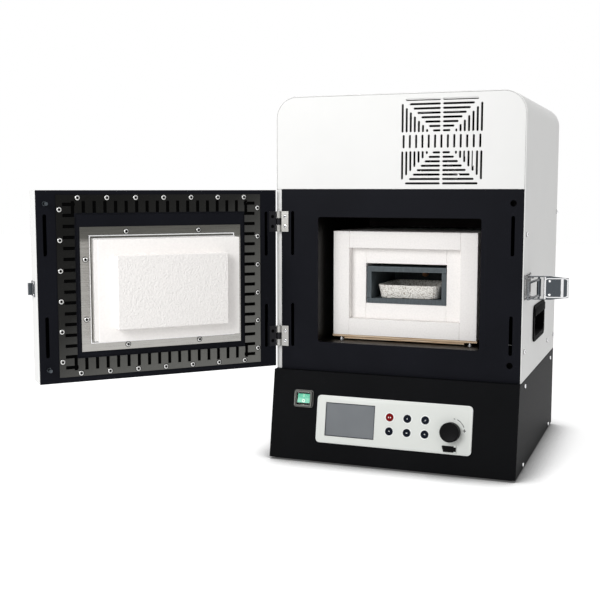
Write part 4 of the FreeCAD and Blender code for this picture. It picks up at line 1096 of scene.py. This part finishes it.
def make_boot():
    """The clear splash cover: a soft box of thin rubber round the rocker, on a flat lip"""
    (x0, h0, foot), (x1, h1, top) = extent(spots("switch_cover", slope.read))
    half_x = (x1 - x0) / 2
    half_h = (h1 - h0) / 2
    wall = 1.0 * MM
    floor = 0.2 * MM
    outer_r, inner_r = 3.2 * MM, 2.4 * MM
    place = slope.frame((x0 + x1) / 2, (h0 + h1) / 2)
    bm = bmesh.new()
    rounded_box(bm, (-half_x, -half_h, foot), (half_x, half_h, top), outer_r, 5)
    outer = set(bm.faces)
    rounded_box(bm, (wall - half_x, wall - half_h, foot + floor),
                (half_x - wall, half_h - wall, top - wall), inner_r, 5)
    bmesh.ops.reverse_faces(bm, faces=[f for f in bm.faces if f not in outer])
    bmesh.ops.transform(bm, matrix=place, verts=bm.verts)
    piece = add_piece("switch_boot", bm, "cabinet", "clear_cover", 180, outward=False)
    # painted outline: the boot's rounded edges get a greyer, less clear finish
    second_finish(piece, "clear_edge", lambda point, normal: 0.25 < abs(normal.dot(slope.out)) < 0.9)
    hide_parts("switch_cover")
    past = 1.2 * MM
    lip_wide, lip_thick, lip_r = 1.3 * MM, 0.9 * MM, 4.2 * MM
    lip = bmesh.new()
    frame_strip(lip, lambda a, level, b: place @ Vector((a, b, level)), (-half_x - past, -half_h - past),
                (half_x + past, half_h + past), lip_wide, foot, foot + lip_thick, lip_r)
    # painted outline: the lip takes the same greyer finish
    add_bevel(add_piece("switch_boot_lip", lip, "cabinet", "clear_edge"), 0.3 * MM, 2)


class FURNACE_OT_switch(bpy.types.Operator):
    """Mains rocker in its housing under the clear cover"""
    bl_idname = "furnace.switch"
    bl_label = "Mains switch"

    def execute(self, context):
        dress("switch_housing", context.scene.furnace_sizes.edge)
        make_rocker()
        make_boot()
        return {"FINISHED"}


# Door
def make_holder_bead():
    """The bead pressed into the plug holder's flange, between its screws and the block"""
    low, high = extent(spots("plug_holder", door.read))
    flange = low.y + 1.2 * MM
    inset = 11.5 * MM
    wide, sunk, proud = 1.7 * MM, 0.3 * MM, 4.5 * MM
    bm = bmesh.new()
    frame_strip(bm, door.at, (low.x + inset, low.z + inset), (high.x - inset, high.z - inset), wide,
                flange - sunk, flange + proud)
    add_bevel(add_piece("holder_bead", bm, "door", "steel_bright"), 0.6 * MM, 3)


def make_choke_painted_shade():
    """A near-black sheet under the comb, a painted shade for the choke channel, which shows between the comb's
    teeth
    """
    low, high = extent(spots("choke_comb", door.read))
    rail = 2.0 * MM
    channel = 23.3 * MM
    sunk, proud = 0.3 * MM, 0.06 * MM
    bm = bmesh.new()
    frame_strip(bm, door.at, (low.x + rail, low.z + rail), (high.x - rail, high.z - rail), channel,
                low.y - sunk, low.y + proud)
    add_piece("choke_painted_shade", bm, "door", "screw_recess")


class FURNACE_OT_door(bpy.types.Operator):
    """Door shell, inner plate, choke comb, plug and interlock pins"""
    bl_idname = "furnace.door"
    bl_label = "Door"

    def execute(self, context):
        sizes = context.scene.furnace_sizes
        shell = dress("door_shell", sizes.edge)
        core = middle("door_shell")
        faces_in = 10 * MM
        # painted shade: the door shell's inner faces are near black
        second_finish(shell, "bare_inside", lambda point, normal: normal.dot(core - point) > faces_in)
        dress("door_plate", sizes.edge)
        dress("choke_comb", sizes.edge * 0.5, 1)
        dress("choke_plate", sizes.edge * 0.5, 1)
        # painted shade: a near-black sheet shows through the comb's teeth
        make_choke_painted_shade()
        # painted reflection and highlight: the holder's flange is darker at its top, its wall lighter, and the
        # wall's front faces polished bright
        holder = dress("plug_holder", sizes.edge, face_finish="holder_steel")
        above = 3 * MM
        second_finish(holder, "holder_wall", lambda point, normal: door.read(point).y > above)
        second_finish(holder, "steel_bright",
                      lambda point, normal: door.read(point).y > above and normal.dot(door.inward) > 0.9)
        make_holder_bead()
        dress("plug_base_block", sizes.board_edge, 3)
        # painted shade: the plug's top block is a little darker than the base block
        dress("plug_top_block", sizes.board_edge, 3, face_finish="pitted_block")
        # painted shade and highlight: pins and keeper faces take a shaded copy of steel, the keeper's edges a
        # painted highlight
        dress("interlock_pins", sizes.edge * 0.8, face_finish="steel_shade")
        dress("keeper", sizes.edge, 2, "steel_bright", "steel_shade")
        return {"FINISHED"}


# Hinges and latch
class FURNACE_OT_hinges(bpy.types.Operator):
    """Butt hinges of the door"""
    bl_idname = "furnace.hinges"
    bl_label = "Hinges"

    def execute(self, context):
        edge = context.scene.furnace_sizes.edge
        for node in ("hinge_leaves", "door_hinge_leaves"):
            dress(node, edge * 0.7)
        dress("hinge_pins", edge * 0.8)
        return {"FINISHED"}


def pressed_rib(bm, place, along, wide, half_z, proud):
    """A rounded rib across the lever's face, sunk a little into it"""
    steps = 10
    turns = [math.pi * k / steps for k in range(steps + 1)]
    outline = [(proud * math.sin(turn), along - wide / 2 * math.cos(turn)) for turn in turns]
    low, high = ([bm.verts.new(place @ Vector((*point, z))) for point in outline] for z in (-half_z, half_z))
    for k in range(steps):
        bm.faces.new((low[k], low[k + 1], high[k + 1], high[k]))
    bm.faces.new((low[steps], low[0], high[0], high[steps]))
    bm.faces.new(low)
    bm.faces.new(list(reversed(high)))


def make_lever_trim():
    """Two pressed ribs, a rolled tip, a bead along the edges and two rivets on the lever"""
    shut = stands("latch_lever_swing")
    back = shut.inverted()
    low, high = extent(spots("latch_lever", lambda point: back @ point))
    tip = high.y
    half_z = max(-low.z, high.z)
    sunk = 0.15 * MM
    place = shut @ Matrix.Translation((high.x - sunk, 0, 0))
    bm = bmesh.new()
    for along, wide, short, high_by in ((19.2 * MM, 3.0, 1.0, 1.1), (tip - 9.5 * MM, 4.4, 3.2, 1.4),
                                        (tip - 1.8 * MM, 2.2, 3.6, 0.75)):
        pressed_rib(bm, place, along, wide * MM, half_z - short * MM, high_by * MM)
    bead_foot, bead_top = 18.4 * MM, tip - 0.9 * MM
    bead_z = half_z - 2.6 * MM
    bead_wide, bead_r = 1.5 * MM, 5.0 * MM
    below, proud = -0.1 * MM, 0.5 * MM
    frame_strip(bm, lambda a, level, b: place @ Vector((level, a, b)), (bead_foot, -bead_z),
                (bead_top, bead_z), bead_wide, below, proud, bead_r)
    rivet = [(0, -0.2), (1.9, -0.2), (1.9, 0.3), (1.6, 0.8), (0.9, 1.15), (0, 1.25)]
    rivet_y = 25.5 * MM
    rivet_z = half_z - 7.0 * MM
    for a in (-1, 1):
        spot = place @ Matrix.Translation((0, rivet_y, a * rivet_z)) @ Matrix.Rotation(math.pi / 2, 4, "Y")
        lathe(bm, [(r * MM, h * MM) for r, h in rivet], 20, spot)
    # painted highlight: ribs, bead and rivets in polished steel against the lever's painted shade
    add_piece("lever_trim", bm, "lever", "steel_bright", 40)


class FURNACE_OT_latch(bpy.types.Operator):
    """Draw latch with its lever and bail"""
    bl_idname = "furnace.latch"
    bl_label = "Draw latch"

    def execute(self, context):
        edge = context.scene.furnace_sizes.edge
        # painted shade and highlight: latch base, lever and bail get dark faces and bright rounded edges
        dress("latch_base", edge, 2, "steel_bright", "latch_dark")
        lever = dress("latch_lever", edge * 1.6, 3, "steel_bright", "steel_shade")
        # painted highlight: the lever's top and bottom faces are bright
        for p in lever.data.polygons:
            p.material_index = 1 if abs(p.normal.z) > 0.9 else 0
        dress("latch_bail", edge, 3, "steel_bright", "steel_shade")
        make_lever_trim()
        return {"FINISHED"}


# Fittings
class FURNACE_OT_fittings(bpy.types.Operator):
    """Side handles, mains inlet, fan, thermocouple and the parts inside"""
    bl_idname = "furnace.fittings"
    bl_label = "Fittings"

    def execute(self, context):
        sizes = context.scene.furnace_sizes
        dress("side_handles", sizes.mould_edge, 3, face_finish="handle_black")
        for node in ("power_inlet", "fan_housing", "fan_rotor"):
            dress(node, sizes.edge)
        sensor = dress("thermocouple", sizes.edge)
        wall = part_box("rear_panel")[0][1]
        second_finish(sensor, "aluminium_part", lambda point, normal: point.y > wall)
        make_thermocouple_tube()
        for node in ("waveguide", "magnetron", "transformer", "capacitor", "control_board",
                     "interlock_switches"):
            dress(node, sizes.edge)
        return {"FINISHED"}


# Stage
def area_light(name, place, target, size, power):
    lamp = bpy.data.lights.new(name, "AREA")
    lamp.shape = "RECTANGLE"
    lamp.size = size
    lamp.size_y = size
    lamp.energy = power
    obj = bpy.data.objects.new(name, lamp)
    bpy.context.scene.collection.objects.link(obj)
    obj.location = place
    obj.rotation_euler = (Vector(target) - obj.location).to_track_quat("-Z", "Y").to_euler()


def white_room(strength):
    world = bpy.data.worlds.new("room")
    bpy.context.scene.world = world
    world.use_nodes = True
    room = Graph(world.node_tree)
    room.fill(room.tree.nodes["Background"], {"Strength": room.spread(room.seen_directly(), strength, 1.0),
                                              "Color": (1, 1, 1, 1)})


def floor_material():
    """White, darker where the object stands on it, and bright to the camera"""
    coat = Surface("floor", {"Specular IOR Level": 0.2, "Emission Color": (1, 1, 1, 1)})
    shadow_reach = 60 * MM
    near = coat.add("AmbientOcclusion", {"Distance": shadow_reach}, samples=8)
    contact = coat.spread(near.outputs["AO"], 0.12, 1.0, 0.45, 0.95)
    speckle = coat.noise(60.0, 3.0)
    white = coat.shades(speckle, WHITE, (0.3, 0.80), (0.7, 0.82))
    glow = coat.spread(coat.seen_directly(), 0.0, 0.57)
    coat.fill(coat.shader, {"Emission Strength": coat.math("MULTIPLY", glow, contact)})
    return coat.finished(coat.times(white, contact), coat.spread(speckle, 0.7, 0.9))


class FURNACE_OT_stage(bpy.types.Operator):
    """Floor, lights and camera"""
    bl_idname = "furnace.stage"
    bl_label = "Stage"

    def execute(self, context):
        look = context.scene.furnace_stage
        reach = 6.0
        mesh = bpy.data.meshes.new("floor")
        mesh.from_pydata([(-reach, -reach, 0), (reach, -reach, 0), (reach, reach, 0), (-reach, reach, 0)], [],
                         [(0, 1, 2, 3)])
        floor = bpy.data.objects.new("floor", mesh)
        context.scene.collection.objects.link(floor)
        clearance = 0.2 * MM
        floor.location.z = cad_box[0][2] - clearance
        mesh.materials.append(floor_material())
        white_room(look.sky)
        centre = (0, 0, 0.27)
        area_light("key", (-0.5, -1.5, 0.9), centre, 0.8, look.key)
        area_light("fill", (1.8, -0.6, 0.9), centre, 1.2, look.fill)
        area_light("top", (-0.1, 0.1, 1.9), centre, 1.6, look.top)
        lens = bpy.data.cameras.new("camera")
        lens.lens = look.lens
        lens.sensor_width = 36.0
        camera = bpy.data.objects.new("camera", lens)
        context.scene.collection.objects.link(camera)
        down_deg = 6.245
        turned_deg = 20.967
        camera.location = (0.3997, -1.5928, 0.4087)
        camera.rotation_euler = (math.radians(90 - down_deg), 0, math.radians(turned_deg))
        context.scene.camera = camera
        context.scene.view_settings.view_transform = "Standard"
        return {"FINISHED"}


class FURNACE_OT_finishes(bpy.types.Operator):
    """Makes every finish and gives the carried-over solids theirs"""
    bl_idname = "furnace.finishes"
    bl_label = "Finishes"

    def execute(self, context):
        FINISHES.update(make_finishes(context.scene.furnace_finish, context.scene.furnace_sizes.grain))
        for node in nodes:
            materials = nodes[node].data.materials
            materials.clear()
            materials.append(FINISHES[SLOT_OF[node]])
        return {"FINISHED"}


STEPS = (FURNACE_OT_finishes, FURNACE_OT_case, FURNACE_OT_fasteners, FURNACE_OT_cavity, FURNACE_OT_controls,
         FURNACE_OT_switch, FURNACE_OT_door, FURNACE_OT_hinges, FURNACE_OT_latch, FURNACE_OT_fittings,
         FURNACE_OT_stage)


class FURNACE_PT_panel(bpy.types.Panel):
    """Lists the furnace's settings and steps"""
    bl_idname = "FURNACE_PT_panel"
    bl_label = "Sintering Furnace"
    bl_space_type = "VIEW_3D"
    bl_region_type = "UI"
    bl_category = "Furnace"

    def draw(self, context):
        scene = context.scene
        for settings in (scene.furnace_finish, scene.furnace_sizes, scene.furnace_stage):
            box = self.layout.box()
            for key in settings.__annotations__:
                box.prop(settings, key)
        for step in STEPS:
            self.layout.operator(step.bl_idname)


CLASSES = (FurnaceFinish, FurnaceSizes, FurnaceStage, *STEPS, FURNACE_PT_panel)


def register():
    for cls in CLASSES:
        bpy.utils.register_class(cls)
    bpy.types.Scene.furnace_finish = PointerProperty(type=FurnaceFinish)
    bpy.types.Scene.furnace_sizes = PointerProperty(type=FurnaceSizes)
    bpy.types.Scene.furnace_stage = PointerProperty(type=FurnaceStage)


def unregister():
    del bpy.types.Scene.furnace_stage
    del bpy.types.Scene.furnace_sizes
    del bpy.types.Scene.furnace_finish
    for cls in reversed(CLASSES):
        bpy.utils.unregister_class(cls)


def main():
    register()
    for step in STEPS:
        group, name = step.bl_idname.split(".")
        getattr(getattr(bpy.ops, group), name)()


if __name__ == "__main__":
    main()
